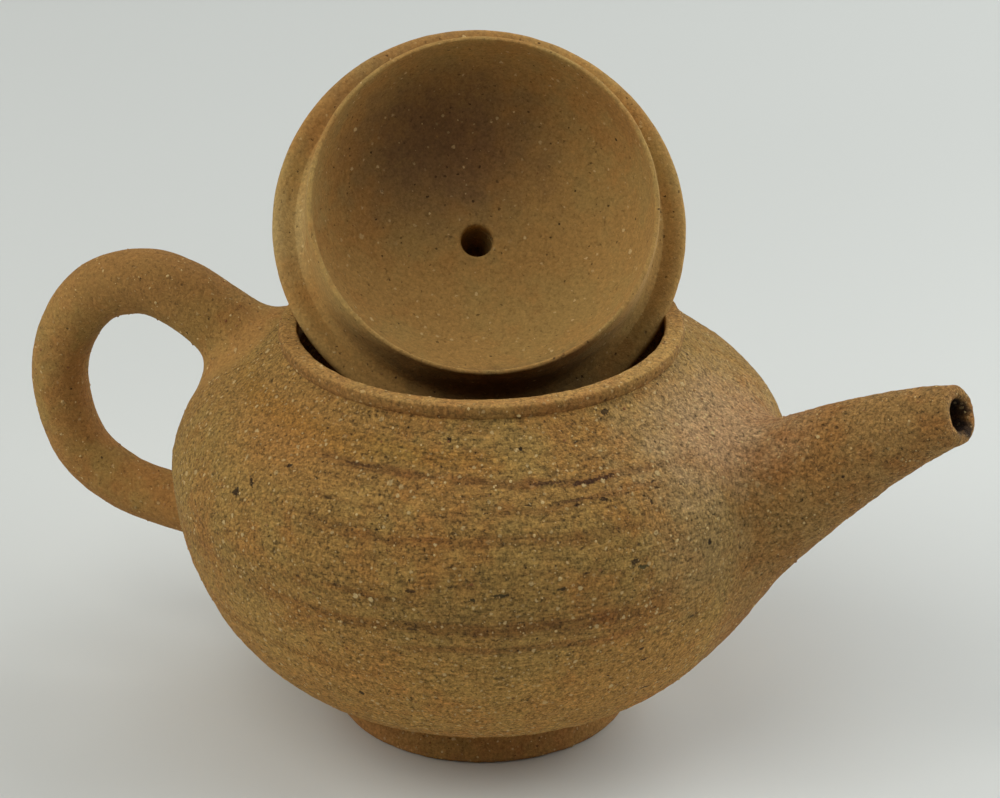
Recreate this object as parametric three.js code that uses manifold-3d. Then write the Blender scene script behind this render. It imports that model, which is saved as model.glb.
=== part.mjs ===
// A small hand-thrown clay teapot with its lid stood on edge in the mouth.
// Millimetres, +Z up, the spout along +X and the handle along -X. The origin is on the table,
// on the axis that the body is thrown about.
//
// The pot is luted together from a thrown body, a foot ring, a mouth collar, a spout with a
// pierced strainer behind it, and a pulled handle. The lid is a domed plate with a flange
// under it and a knob on top, and a steam vent runs through all of it.
import * as THREE from "three";
import { mergeVertices } from "three/addons/utils/BufferGeometryUtils.js";
import Module from "manifold-3d";

const wasm = await Module();
wasm.setup();

// Driving sizes
const BELLY_RADIUS = 45;
const BELLY_HEIGHT = 39.2; // where the body is widest
const BELLY_ROUNDNESS = 1.9; // exponent of the lower curve, 2 is an ellipse
const SHOULDER_ROUNDNESS = 1.77;
const SHOULDER_RADIUS = 36; // where the round of the shoulder runs out into a straight cone
const SHOULDER_CREST = { radius: 28.1, height: 55.6 }; // where that round would come level
const WALL = 3.2;
const SEAM = 0.3; // room for the slip between two luted pieces

const FOOT_HEIGHT = 6.6;
const FOOT_RADIUS = 21.8;
const FOOT_TOP_RADIUS = 20.7;
const FOOT_WIDTH = 4.2;
const FOOT_EDGE = 0.6;
const BASE_DROP = 3.2; // how far the base bulges down inside the foot ring
const FLOOR_THICKNESS = 3.6;

const RIM_HEIGHT = 60.5;
const MOUTH_RADIUS = 26.3;
const COLLAR_HEIGHT = 2.1;
const COLLAR_WIDTH = 2.6;
const COLLAR_EDGE = 0.6;

const SPOUT_TIP = { reach: 70, height: 57.3 };
const SPOUT_MIDDLE = { reach: 58.6, height: 53.8 }; // pull of the curve, which it doesn't pass through
const SPOUT_ROOT = { reach: 29, height: 28.8 };
const SPOUT_ROOT_RADIUS = 13.2;
const SPOUT_TIP_RADIUS = 3.95;
const SPOUT_BORE_RADIUS = 2.35;
const SPOUT_WALL = 2.6;
const SPOUT_CUT_RISE = 21; // degrees that the cut of the tip looks up
const SPOUT_CUT_TURN = 12; // degrees that it looks to the side that the lid's hollow faces

const STRAINER_RADIUS = 10.5;
const STRAINER_THICKNESS = 1.8;
const STRAINER_HOLE_RADIUS = 1.1;
const STRAINER_RINGS = [{ count: 1, tilt: 0 }, { count: 6, tilt: 25 }, { count: 9, tilt: 48 }];
const SPOUT_PORT_RADIUS = 7.2; // hole in the body wall, under the strainer

const HANDLE_START = 30; // reach of the centre line's ends, inside the wall
const HANDLE_REACH = 68.2; // centre line at the back of the loop
const HANDLE_TOP = 59.3;
const HANDLE_LOW_HEIGHT = 23.2;
const HANDLE_RADIUS = 4.2;
const HANDLE_ROOT_RADIUS = 5.5;
const HANDLE_END_RADIUS = 4.6;

const LID_RADIUS = 29.9;
const LID_EDGE_THICKNESS = 2.2;
const LID_EDGE_ROUND = 0.8;
const LID_THICKNESS = 3.3; // at the crown
const BOWL_DEPTH = 8; // hollow above the ledge, at the centre
const BOWL_ROUNDNESS = 2.3;
const FLANGE_HEIGHT = 10.8;
const FLANGE_CLEARANCE = 1; // to the mouth, all round
const FLANGE_TAPER = 0.8;
const FLANGE_LIP = 1.2; // thickness of its lower edge
const KNOB_HEIGHT = 8.9;
const KNOB_RADIUS = 7;
const KNOB_NECK_RADIUS = 5.4;
const KNOB_TOP_RADIUS = 5;
const KNOB_ROUND = 3.6; // height of the round at its top
const VENT_RADIUS = 2.35;
const VENT_TOP_RADIUS = 1.2; // where it comes out of the knob

const LID_LEAN = 38.5; // degrees by which the hollow of the lid looks up
const LID_TURN = 23.5; // degrees by which it looks towards the spout
const REST_GAP = 0.3; // between the lid and the collar it leans on

const BODY_SIDES = 52;
const RING_SIDES = 44;
const TUBE_SIDES = 16;
const HOLE_SIDES = 8;

// Materials
const clay = (color, roughness) => new THREE.MeshStandardMaterial({ color, roughness, metalness: 0 });
const sandyClay = clay(0xa47743, 0.95);
const smoothClay = clay(0x8f6a41, 0.88);
const flushedClay = clay(0xa06a38, 0.9);

// Helpers
const turnRadians = THREE.MathUtils.degToRad;
const point = (radius, height) => new THREE.Vector2(radius, height);

/** A closed solid from a geometry, for cutting and joining. */
function solidOf(geometry) {
  const bare = geometry.clone();
  bare.deleteAttribute("normal");
  bare.deleteAttribute("uv");
  const merged = mergeVertices(bare, 1e-4);
  const made = new wasm.Manifold(
    new wasm.Mesh({
      numProp: 3,
      vertProperties: merged.attributes.position.array,
      triVerts: new Uint32Array(merged.index.array),
    }),
  );
  return made;
}

/** The geometry of a solid. */
function geometryOf(solid) {
  const { vertProperties, triVerts, numProp, numVert } = solid.getMesh();
  const positions = new Float32Array(numVert * 3);
  for (let i = 0; i < numVert; i++) {
    positions.set(vertProperties.subarray(i * numProp, i * numProp + 3), i * 3);
  }
  const geometry = new THREE.BufferGeometry();
  geometry.setAttribute("position", new THREE.BufferAttribute(positions, 3));
  geometry.setIndex(new THREE.BufferAttribute(triVerts, 1));
  geometry.computeVertexNormals();
  return geometry;
}

/** A profile of radius and height spun about +Z. It runs anticlockwise, with +radius to the right. */
function spin(profile, sides) {
  return new THREE.LatheGeometry(profile, sides).rotateX(Math.PI / 2);
}

/** The points of a quarter of a superellipse from one end to the other, ends included. */
function quarter(start, end, roundness, steps) {
  const points = [];
  for (let i = 0; i <= steps; i++) {
    const angle = (i / steps) * (Math.PI / 2);
    const across = Math.sin(angle) ** (2 / roundness);
    const along = 1 - Math.cos(angle) ** (2 / roundness);
    points.push({ across, along });
  }
  return points.map(({ across, along }) =>
    point(start.x + (end.x - start.x) * across, start.y + (end.y - start.y) * along),
  );
}

/** The radius of a rising profile at a height. */
function radiusAt(profile, height) {
  const above = Math.max(profile.findIndex((p) => p.y >= height), 1);
  const [a, b] = [profile[above - 1], profile[above]];
  return THREE.MathUtils.mapLinear(height, a.y, b.y, a.x, b.x);
}

/** A profile moved along its own normals: outwards for a positive distance. */
function grown(profile, distance) {
  return profile.map((here, i) => {
    const before = profile[Math.max(i - 1, 0)];
    const after = profile[Math.min(i + 1, profile.length - 1)];
    const run = after.clone().sub(before).normalize();
    return point(here.x + run.y * distance, here.y - run.x * distance);
  });
}

/** A solid of revolution along +Y, bent so that its axis follows a curve in the XZ plane. */
function bentAlong(geometry, curve, length) {
  const bent = geometry.clone();
  const position = bent.attributes.position;
  const tangent = new THREE.Vector3();
  const centre = new THREE.Vector3();
  for (let i = 0; i < position.count; i++) {
    const share = THREE.MathUtils.clamp(position.getY(i) / length, 0, 1);
    curve.getPointAt(share, centre);
    curve.getTangentAt(share, tangent);
    const across = position.getX(i);
    const past = position.getY(i) - share * length;
    position.setXYZ(
      i,
      centre.x - tangent.z * across + tangent.x * past,
      position.getZ(i),
      centre.z + tangent.x * across + tangent.z * past,
    );
  }
  return bent;
}

/** A named piece. */
function piece(name, geometry, material) {
  const mesh = new THREE.Mesh(geometry, material);
  mesh.name = name;
  return mesh;
}

// The body's shape, which the other pieces are fitted to
const collarSeat = RIM_HEIGHT - COLLAR_HEIGHT;
const collarRadius = MOUTH_RADIUS + COLLAR_WIDTH;

/** The outside of the body, from the foot ring's seat up to the collar's seat. */
function bodyOutside() {
  const belly = point(BELLY_RADIUS, BELLY_HEIGHT);
  const lower = quarter(point(FOOT_TOP_RADIUS - SEAM, FOOT_HEIGHT), belly, BELLY_ROUNDNESS, 12);
  const crest = point(SHOULDER_CREST.radius, SHOULDER_CREST.height);
  const upper = quarter(crest, belly, SHOULDER_ROUNDNESS, 16).reverse();
  const round = upper.slice(1).filter((p) => p.x > SHOULDER_RADIUS);
  return [...lower, ...round, point(collarRadius, collarSeat)];
}

const outside = bodyOutside();
const floorHeight = FOOT_HEIGHT - BASE_DROP + FLOOR_THICKNESS;

/** The hollow of the body, from the middle of the floor up to the mouth. */
function bodyInside() {
  const wall = grown(outside, -WALL).filter((p) => p.x > FOOT_TOP_RADIUS - WALL);
  const rising = wall.filter((p) => p.y > floorHeight + 0.8 && p.y < collarSeat - WALL);
  const kept = rising.filter((p) => p.x > MOUTH_RADIUS || p.y < BELLY_HEIGHT);
  return [
    point(0, floorHeight),
    point(FOOT_TOP_RADIUS - WALL, floorHeight),
    ...kept,
    point(MOUTH_RADIUS, collarSeat - WALL * 0.6),
    point(MOUTH_RADIUS, collarSeat),
  ];
}

const inside = bodyInside();

/** A solid that fills the body's outside, larger all round by the given distance. */
function bodyBlock(distance) {
  const skin = grown(outside, distance);
  const bottom = skin[0];
  const top = skin[skin.length - 1];
  return solidOf(
    spin([point(0, bottom.y), ...skin, point(0, top.y + distance)], BODY_SIDES),
  );
}

/** A solid that fills the body's hollow, smaller all round by the given distance. */
function hollowBlock(distance) {
  const skin = grown(inside.slice(1), -distance);
  return solidOf(
    spin([point(0, floorHeight + distance), ...skin, point(0, collarSeat)], BODY_SIDES),
  );
}

// Spout
const spoutCurve = new THREE.QuadraticBezierCurve3(
  new THREE.Vector3(SPOUT_ROOT.reach, 0, SPOUT_ROOT.height),
  new THREE.Vector3(SPOUT_MIDDLE.reach, 0, SPOUT_MIDDLE.height),
  new THREE.Vector3(SPOUT_TIP.reach, 0, SPOUT_TIP.height),
);
const spoutLength = spoutCurve.getLength();

/** The spout's outer radius at a share of its length, from 0 at the root to 1 at the tip. */
function spoutRadius(share) {
  return THREE.MathUtils.lerp(SPOUT_ROOT_RADIUS, SPOUT_TIP_RADIUS, share);
}

/** The direction that the cut of the spout's tip looks in. */
function spoutCut() {
  const rise = turnRadians(SPOUT_CUT_RISE);
  const turn = turnRadians(SPOUT_CUT_TURN);
  return [Math.cos(rise) * Math.cos(turn), -Math.cos(rise) * Math.sin(turn), Math.sin(rise)];
}

/** The spout as a solid horn, cut off aslant at its tip, before it is bored. */
function spoutHorn() {
  const steps = 14;
  const profile = [point(0, 0)];
  for (let i = 0; i <= steps; i++) {
    const share = i / steps;
    profile.push(point(spoutRadius(share), share * spoutLength));
  }
  const past = spoutLength + SPOUT_TIP_RADIUS;
  profile.push(point(SPOUT_TIP_RADIUS, past), point(0, past));
  const horn = solidOf(
    bentAlong(new THREE.LatheGeometry(profile, TUBE_SIDES), spoutCurve, spoutLength),
  );
  const [x, y, z] = spoutCut();
  return horn.trimByPlane([-x, -y, -z], -(x * SPOUT_TIP.reach + z * SPOUT_TIP.height));
}

/** The tapered bore down the spout, run past both of its ends. */
function spoutBore() {
  const steps = 10;
  const past = SPOUT_TIP_RADIUS;
  const profile = [point(0, -past)];
  for (let i = 0; i <= steps; i++) {
    const share = i / steps;
    const radius = Math.max(SPOUT_BORE_RADIUS, spoutRadius(share) - SPOUT_WALL);
    profile.push(point(radius, i === 0 ? -past : share * spoutLength));
  }
  profile.push(point(SPOUT_BORE_RADIUS, spoutLength + past), point(0, spoutLength + past));
  return solidOf(
    bentAlong(new THREE.LatheGeometry(profile, TUBE_SIDES), spoutCurve, spoutLength),
  );
}

// Where the spout's axis passes through the body wall
/** The place on the spout's axis where it leaves the hollow, and the axis's direction there. */
function portPlace() {
  let share = 0;
  const here = new THREE.Vector3();
  do {
    share += 0.005;
    spoutCurve.getPointAt(share, here);
  } while (here.x < radiusAt(outside, here.z) - WALL);
  return { centre: here.clone(), direction: spoutCurve.getTangentAt(share) };
}

const port = portPlace();

/** Turns a geometry made along +Z at the origin to lie along the spout at the port. */
function atPort(geometry, tilt = 0, turn = 0) {
  const aim = new THREE.Quaternion().setFromUnitVectors(
    new THREE.Vector3(0, 0, 1),
    port.direction.clone().negate(),
  );
  const placed = geometry.clone().rotateY(turnRadians(tilt)).rotateZ(turn);
  return placed.applyQuaternion(aim).translate(port.centre.x, port.centre.y, port.centre.z);
}

/** A round rod along +Z from one height to another. */
function rod(radius, from, to, sides) {
  const length = to - from;
  return new THREE.CylinderGeometry(radius, radius, length, sides)
    .rotateX(Math.PI / 2)
    .translate(0, 0, from + length / 2);
}

function bodyGeometry() {
  const shell = [
    point(0, FOOT_HEIGHT - BASE_DROP),
    point(FOOT_RADIUS - FOOT_WIDTH - SEAM - 1, FOOT_HEIGHT - BASE_DROP),
    point(FOOT_RADIUS - FOOT_WIDTH - SEAM, FOOT_HEIGHT - BASE_DROP + 1),
    point(FOOT_RADIUS - FOOT_WIDTH - SEAM, FOOT_HEIGHT),
    ...outside,
    ...[...inside].reverse(),
  ];
  const portRod = atPort(rod(SPOUT_PORT_RADIUS, -WALL * 3, WALL, TUBE_SIDES));
  return geometryOf(solidOf(spin(shell, BODY_SIDES)).subtract(solidOf(portRod)));
}

function footGeometry() {
  const innerRadius = FOOT_RADIUS - FOOT_WIDTH;
  return spin(
    [
      point(innerRadius + FOOT_EDGE, 0),
      point(FOOT_RADIUS - FOOT_EDGE, 0),
      point(FOOT_RADIUS, FOOT_EDGE),
      point(FOOT_TOP_RADIUS, FOOT_HEIGHT),
      point(innerRadius, FOOT_HEIGHT),
      point(innerRadius, FOOT_EDGE),
      point(innerRadius + FOOT_EDGE, 0),
    ],
    RING_SIDES,
  );
}

function collarGeometry() {
  return spin(
    [
      point(MOUTH_RADIUS, collarSeat),
      point(collarRadius, collarSeat),
      point(collarRadius, RIM_HEIGHT - COLLAR_EDGE),
      point(collarRadius - COLLAR_EDGE * 0.4, RIM_HEIGHT - COLLAR_EDGE * 0.35),
      point(collarRadius - COLLAR_EDGE, RIM_HEIGHT),
      point(MOUTH_RADIUS + COLLAR_EDGE * 0.5, RIM_HEIGHT),
      point(MOUTH_RADIUS, RIM_HEIGHT - COLLAR_EDGE * 0.5),
      point(MOUTH_RADIUS, collarSeat),
    ],
    RING_SIDES,
  );
}

function spoutGeometry() {
  return geometryOf(spoutHorn().subtract(spoutBore()).subtract(bodyBlock(SEAM)));
}

/** A pierced half ball that stands over the port, inside the body. */
function strainerGeometry() {
  const ball = (radius) => solidOf(atPort(new THREE.SphereGeometry(radius, 24, 16)));
  let screen = ball(STRAINER_RADIUS).subtract(ball(STRAINER_RADIUS - STRAINER_THICKNESS));
  for (const { count, tilt } of STRAINER_RINGS) {
    for (let i = 0; i < count; i++) {
      const hole = rod(STRAINER_HOLE_RADIUS, STRAINER_RADIUS / 2, STRAINER_RADIUS + 1, HOLE_SIDES);
      screen = screen.subtract(solidOf(atPort(hole, tilt, (i / count) * Math.PI * 2)));
    }
  }
  return geometryOf(screen.intersect(hollowBlock(SEAM)));
}

// Handle
/** A point of the handle's centre line, at shares of the loop's depth and of its height. */
function loopPoint([out, up]) {
  const reach = THREE.MathUtils.lerp(HANDLE_START, HANDLE_REACH, out);
  const height = THREE.MathUtils.lerp(HANDLE_LOW_HEIGHT, HANDLE_TOP, up);
  return new THREE.Vector3(-reach, 0, height);
}

const handleCurve = new THREE.CatmullRomCurve3(
  [
    [0, 0.742],
    [0.144, 0.795],
    [0.301, 0.884],
    [0.432, 0.961],
    [0.589, 1],
    [0.798, 0.931],
    [0.94, 0.753],
    [1, 0.515],
    [0.924, 0.208],
    [0.749, 0.066],
    [0.524, 0.008],
    [0.183, -0.014],
  ].map(loopPoint),
  false,
  "centripetal",
);
const handleLength = handleCurve.getLength();

/** The handle's radius at a share of its length, from 0 at the shoulder to 1 at the belly. */
function handleRadius(share) {
  const top = Math.exp(-((share / 0.34) ** 2));
  const low = Math.exp(-(((1 - share) / 0.1) ** 2));
  return (
    HANDLE_RADIUS +
    (HANDLE_ROOT_RADIUS - HANDLE_RADIUS) * top +
    (HANDLE_END_RADIUS - HANDLE_RADIUS) * low
  );
}

function handleGeometry() {
  const steps = 34;
  const profile = [point(0, 0)];
  for (let i = 0; i <= steps; i++) {
    profile.push(point(handleRadius(i / steps), (i / steps) * handleLength));
  }
  profile.push(point(0, handleLength));
  const strap = bentAlong(
    new THREE.LatheGeometry(profile, TUBE_SIDES),
    handleCurve,
    handleLength,
  );
  return geometryOf(
    solidOf(strap).subtract(bodyBlock(SEAM)).subtract(solidOf(collarRoom())),
  );
}

/** The space that the collar takes, with room round it for the handle's root. */
function collarRoom() {
  return rod(collarRadius + SEAM, collarSeat - WALL, RIM_HEIGHT + WALL * 3, RING_SIDES);
}

// Lid, drawn as it sits on the mouth: ledge at height 0, knob up
const flangeRadius = MOUTH_RADIUS - FLANGE_CLEARANCE;
const bowlRadius = flangeRadius - FLANGE_TAPER - FLANGE_LIP;
const crownHeight = BOWL_DEPTH + LID_THICKNESS;
const knobSeat = crownHeight;
const knobTop = knobSeat + KNOB_HEIGHT;

/** The lid's edge, from the ledge up to where the dome starts. */
const lidEdge = [
  point(LID_RADIUS - LID_EDGE_ROUND, 0),
  point(LID_RADIUS - LID_EDGE_ROUND * 0.3, LID_EDGE_ROUND * 0.3),
  point(LID_RADIUS, LID_EDGE_ROUND),
  point(LID_RADIUS - LID_EDGE_ROUND * 0.9, LID_EDGE_THICKNESS * 0.75),
  point(LID_RADIUS - LID_EDGE_ROUND * 2.4, LID_EDGE_THICKNESS),
];

/** The hollow of the lid, one smooth bowl from the flange's lip in to the vent. */
const bowl = quarter(
  point(VENT_RADIUS, BOWL_DEPTH),
  point(bowlRadius, -FLANGE_HEIGHT),
  BOWL_ROUNDNESS,
  18,
);
const bowlOutward = [...bowl].reverse();

function lidPlateGeometry() {
  const crown = point(KNOB_NECK_RADIUS + 1, crownHeight);
  const dome = quarter(crown, lidEdge[lidEdge.length - 1], 2, 9).reverse();
  const start = point(radiusAt(bowlOutward, 0), 0);
  return spin(
    [
      start,
      ...lidEdge,
      ...dome.slice(1),
      point(VENT_RADIUS, crownHeight),
      ...bowl.filter((p) => p.y > SEAM),
      start,
    ],
    BODY_SIDES,
  );
}

function lidFlangeGeometry() {
  const lip = FLANGE_LIP * 0.4;
  const outer = flangeRadius - FLANGE_TAPER;
  const start = point(radiusAt(bowlOutward, -SEAM), -SEAM);
  return spin(
    [
      start,
      ...bowl.filter((p) => p.y < -SEAM * 2 && p.y > -FLANGE_HEIGHT + lip * 1.5),
      point(bowlRadius, -FLANGE_HEIGHT + lip),
      point(bowlRadius + lip, -FLANGE_HEIGHT),
      point(outer - lip, -FLANGE_HEIGHT),
      point(outer, -FLANGE_HEIGHT + lip),
      point(flangeRadius - FLANGE_TAPER * 0.3, -FLANGE_HEIGHT * 0.5),
      point(flangeRadius, -SEAM),
      start,
    ],
    BODY_SIDES,
  );
}

function lidKnobGeometry() {
  const base = knobSeat + SEAM;
  const waist = knobSeat + KNOB_HEIGHT * 0.22;
  const swell = quarter(point(KNOB_TOP_RADIUS, knobTop), point(KNOB_RADIUS, knobTop - KNOB_ROUND), 2, 4);
  return spin(
    [
      point(VENT_RADIUS, base),
      point(KNOB_NECK_RADIUS + 0.7, base),
      point(KNOB_NECK_RADIUS, waist),
      point(KNOB_RADIUS - 0.7, waist + 1.6),
      ...swell.reverse(),
      point(VENT_TOP_RADIUS, knobTop),
      point(VENT_RADIUS, base),
    ],
    RING_SIDES / 2,
  );
}

/**
 * Where the lid comes to rest when it stands on edge in the mouth: its sides against the
 * collar and the top of its knob on the collar's back. It gives how far back and how high
 * the middle of the ledge lies, from the mouth's axis and from the table.
 */
function lidRest() {
  const lean = turnRadians(LID_LEAN);
  const room = MOUTH_RADIUS - REST_GAP;
  const rimBack = Math.sqrt(MOUTH_RADIUS ** 2 - KNOB_TOP_RADIUS ** 2);
  const backAt = (rise) =>
    rimBack - (knobTop + REST_GAP - rise * Math.sin(lean)) / Math.cos(lean);
  const widest = (rise) => {
    const reaches = lidEdge.map(({ x: radius, y: depth }) => {
      const slope = (depth * Math.sin(lean) - rise) / Math.cos(lean);
      const half = Math.sqrt(Math.max(radius ** 2 - slope ** 2, 0));
      return Math.hypot(half, backAt(rise) + slope * Math.sin(lean) + depth * Math.cos(lean));
    });
    return Math.max(...reaches);
  };
  let low = LID_RADIUS * 0.2;
  let high = LID_RADIUS * 0.7;
  for (let i = 0; i < 40; i++) {
    const middle = (low + high) / 2;
    if (widest(middle) > room) low = middle;
    else high = middle;
  }
  return { back: backAt(high), height: RIM_HEIGHT + high };
}

// Assembly
const pot = new THREE.Group();
pot.add(
  piece("pot_body", bodyGeometry(), sandyClay),
  piece("foot_ring", footGeometry(), smoothClay),
  piece("mouth_collar", collarGeometry(), flushedClay),
  piece("spout", spoutGeometry(), sandyClay),
  piece("spout_strainer", strainerGeometry(), smoothClay),
  piece("handle", handleGeometry(), smoothClay),
);

const lid = new THREE.Group();
lid.add(
  piece("lid_plate", lidPlateGeometry(), smoothClay),
  piece("lid_flange", lidFlangeGeometry(), smoothClay),
  piece("lid_knob", lidKnobGeometry(), smoothClay),
);
const rest = lidRest();
lid.rotation.x = -turnRadians(90 + LID_LEAN);
lid.position.set(0, rest.back, rest.height);
const lidTurn = new THREE.Group();
lidTurn.rotation.z = turnRadians(LID_TURN);
lidTurn.add(lid);

const teapot = new THREE.Group();
teapot.add(pot, lidTurn);

export default teapot;
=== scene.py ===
"""The looks of a small hand-thrown clay teapot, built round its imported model.

The pot stands on a pale table with its lid leaning on edge in the mouth. Sizes in the classes are
millimetres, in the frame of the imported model: +Z up, the spout along +X, the origin under the pot.
"""

from __future__ import annotations

import logging
import math
from dataclasses import dataclass, field
from enum import Enum
from functools import cached_property
from typing import Callable, Sequence

import bmesh
import bpy
import numpy as np
from mathutils import Matrix, Vector


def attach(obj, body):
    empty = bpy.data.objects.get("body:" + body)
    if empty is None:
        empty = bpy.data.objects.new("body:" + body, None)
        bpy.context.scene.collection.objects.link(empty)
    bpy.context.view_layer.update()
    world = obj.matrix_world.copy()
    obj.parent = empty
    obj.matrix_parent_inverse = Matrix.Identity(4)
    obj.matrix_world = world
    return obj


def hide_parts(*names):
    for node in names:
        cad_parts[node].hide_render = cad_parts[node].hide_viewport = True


LOG = logging.getLogger("teapot")
MM = 0.001
SIDE = np.array([0.0, 1.0, 0.0])
ROUND = 2 * math.pi
RIB_TURN = -66.0
CLAY_GLOSS = 0.3

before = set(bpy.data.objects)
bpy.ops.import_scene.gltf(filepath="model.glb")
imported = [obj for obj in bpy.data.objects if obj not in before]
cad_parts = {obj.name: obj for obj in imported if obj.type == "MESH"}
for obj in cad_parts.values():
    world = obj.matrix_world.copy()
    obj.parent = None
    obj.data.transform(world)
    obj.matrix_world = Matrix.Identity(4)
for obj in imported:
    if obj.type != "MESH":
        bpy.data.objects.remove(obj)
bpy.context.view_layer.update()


# Numbers and curves


def smooth_step(low: float, high: float, value: np.ndarray | float) -> np.ndarray:
    """A smooth rise from 0 at low to 1 at high.

    Args:
        low: Where the rise starts.
        high: Where it ends.
        value: The numbers to look up.

    Returns:
        The rise at each number.
    """
    share = np.clip((value - low) / (high - low), 0.0, 1.0)
    return share * share * (3.0 - 2.0 * share)


def smooth_union(first: np.ndarray, second: np.ndarray, blend: np.ndarray) -> np.ndarray:
    """The distance to two forms that melt into each other.

    Args:
        first: Signed distances to one form.
        second: Signed distances to the other.
        blend: How wide the fillet between them is.

    Returns:
        Signed distances to the melted form.
    """
    share = np.clip(0.5 + 0.5 * (second - first) / blend, 0.0, 1.0)
    return second + (first - second) * share - blend * share * (1.0 - share)


def even(points: np.ndarray, steps: int) -> np.ndarray:
    """The same line with points at even distances.

    Args:
        points: The points of the line.
        steps: Number of pieces wanted.

    Returns:
        One point more than steps.
    """
    run = np.concatenate([[0.0], np.cumsum(np.linalg.norm(np.diff(points, axis=0), axis=1))])
    wanted = np.linspace(0.0, run[-1], steps + 1)
    return np.stack([np.interp(wanted, run, points[:, i]) for i in range(points.shape[1])], 1)


def quarter_curve(start: Sequence[float], end: Sequence[float], roundness: float, steps: int) -> np.ndarray:
    """A quarter of a superellipse, level at its start and upright at its end.

    Args:
        start: Radius and height of the level end.
        end: Radius and height of the upright end.
        roundness: Exponent, where 2 is an ellipse.
        steps: Number of pieces.

    Returns:
        Points of radius and height, evenly spread.
    """
    angle = np.linspace(0.0, math.pi / 2, 600)
    across = np.sin(angle) ** (2 / roundness)
    along = 1 - np.cos(angle) ** (2 / roundness)
    dense = np.stack([start[0] + (end[0] - start[0]) * across, start[1] + (end[1] - start[1]) * along], 1)
    return even(dense, steps)


def rounded(points: Sequence[Sequence[float]], steps: int, passes: int = 3) -> np.ndarray:
    """A soft line along a few corner points.

    Args:
        points: The corners, with the first and last kept.
        steps: Number of pieces wanted.
        passes: How often the corners are cut.

    Returns:
        The points of the soft line.
    """
    line = np.array(points, float)
    for _ in range(passes):
        ahead = line[:-1] * 0.75 + line[1:] * 0.25
        behind = line[:-1] * 0.25 + line[1:] * 0.75
        cut = np.stack([ahead, behind], 1).reshape(-1, line.shape[1])
        line = np.concatenate([line[:1], cut, line[-1:]])
    return even(line, steps)


def through(points: np.ndarray, steps: int) -> np.ndarray:
    """A smooth line that passes through its points, whatever their spacing.

    Args:
        points: The points.
        steps: Number of pieces wanted.

    Returns:
        The points of the smooth line.
    """
    padded = np.concatenate([[2 * points[0] - points[1]], points, [2 * points[-1] - points[-2]]])
    share = np.linspace(0.0, 1.0, 24, endpoint=False)[:, None]
    line = []
    for before, here, after, later in zip(padded, padded[1:], padded[2:], padded[3:]):
        pairs = ((before, here), (here, after), (after, later))
        gaps = [math.sqrt(float(np.linalg.norm(b - a))) for a, b in pairs]
        step = (after - here) / gaps[1]
        leave = ((here - before) / gaps[0] - (after - before) / (gaps[0] + gaps[1]) + step) * gaps[1]
        arrive = (step - (later - here) / (gaps[1] + gaps[2]) + (later - after) / gaps[2]) * gaps[1]
        square = -3 * here + 3 * after - 2 * leave - arrive
        cube = 2 * here - 2 * after + leave + arrive
        line.append(here + leave * share + square * share**2 + cube * share**3)
    return even(np.concatenate([*line, points[-1:]]), steps)


def unit(vector: np.ndarray) -> np.ndarray:
    """Vectors of length one along the last axis."""
    return vector / np.linalg.norm(vector, axis=-1, keepdims=True)


def direction(turn: float, rise: float) -> np.ndarray:
    """The direction at an angle round the axis and an angle above level, both in degrees."""
    turn, rise = math.radians(turn), math.radians(rise)
    return np.array([math.cos(rise) * math.cos(turn), math.cos(rise) * math.sin(turn), math.sin(rise)])


@dataclass
class SpunField:
    """The signed distance to a form spun about the axis, kept in a table that is made once."""

    outline: np.ndarray
    step: float = 0.25
    reach: float = 84.0
    floor: float = -6.0
    table: np.ndarray = field(init=False)

    def __post_init__(self) -> None:
        """Fills the table."""
        radius = np.arange(0.0, self.reach, self.step)
        height = np.arange(self.floor, self.reach, self.step)
        across, up = np.meshgrid(radius, height, indexing="ij")
        flat = np.stack([across.ravel(), up.ravel()], 1)
        bottom, top = self.outline[0, 1], self.outline[-1, 1]
        closed = np.concatenate([[[0.0, bottom]], self.outline, [[0.0, top]]])
        start, run = closed[:-1], np.diff(closed, axis=0)
        length = (run**2).sum(1)
        best = np.empty(len(flat))
        for chunk in range(0, len(flat), 20000):
            some = flat[chunk : chunk + 20000, None, :] - start[None]
            share = np.clip((some * run[None]).sum(2) / length, 0.0, 1.0)
            gap = some - share[..., None] * run[None]
            best[chunk : chunk + 20000] = np.sqrt((gap**2).sum(2).min(1))
        edge = np.interp(flat[:, 1], self.outline[:, 1], self.outline[:, 0])
        within = (flat[:, 0] < edge) & (flat[:, 1] > bottom) & (flat[:, 1] < top)
        self.table = np.where(within, -best, best).reshape(across.shape)

    def at(self, points: np.ndarray) -> np.ndarray:
        """The signed distance from points to the form.

        Args:
            points: Places in space.

        Returns:
            The distances, negative inside.
        """
        across = np.clip(np.hypot(points[:, 0], points[:, 1]) / self.step, 0, self.table.shape[0] - 1.001)
        up = np.clip((points[:, 2] - self.floor) / self.step, 0, self.table.shape[1] - 1.001)
        i, j = across.astype(int), up.astype(int)
        a, b = across - i, up - j
        low = self.table[i, j] * (1 - a) + self.table[i + 1, j] * a
        high = self.table[i, j + 1] * (1 - a) + self.table[i + 1, j + 1] * a
        return low * (1 - b) + high * b


def march(
    field_at: Callable[[np.ndarray], np.ndarray],
    origins: np.ndarray,
    aims: np.ndarray,
    reach: float,
    steps: int = 44,
) -> np.ndarray:
    """The first places where rays that start inside a form come out of it.

    Args:
        field_at: Signed distance to the form at points.
        origins: Where the rays start.
        aims: Their unit directions.
        reach: How far they may go.
        steps: How many strides they take.

    Returns:
        The points where they come out.
    """
    gone = np.zeros(len(aims))
    for _ in range(steps):
        gone = np.clip(gone - field_at(origins + aims * gone[:, None]), 0.0, reach)
    return origins + aims * gone[:, None]


# Meshes


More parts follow.
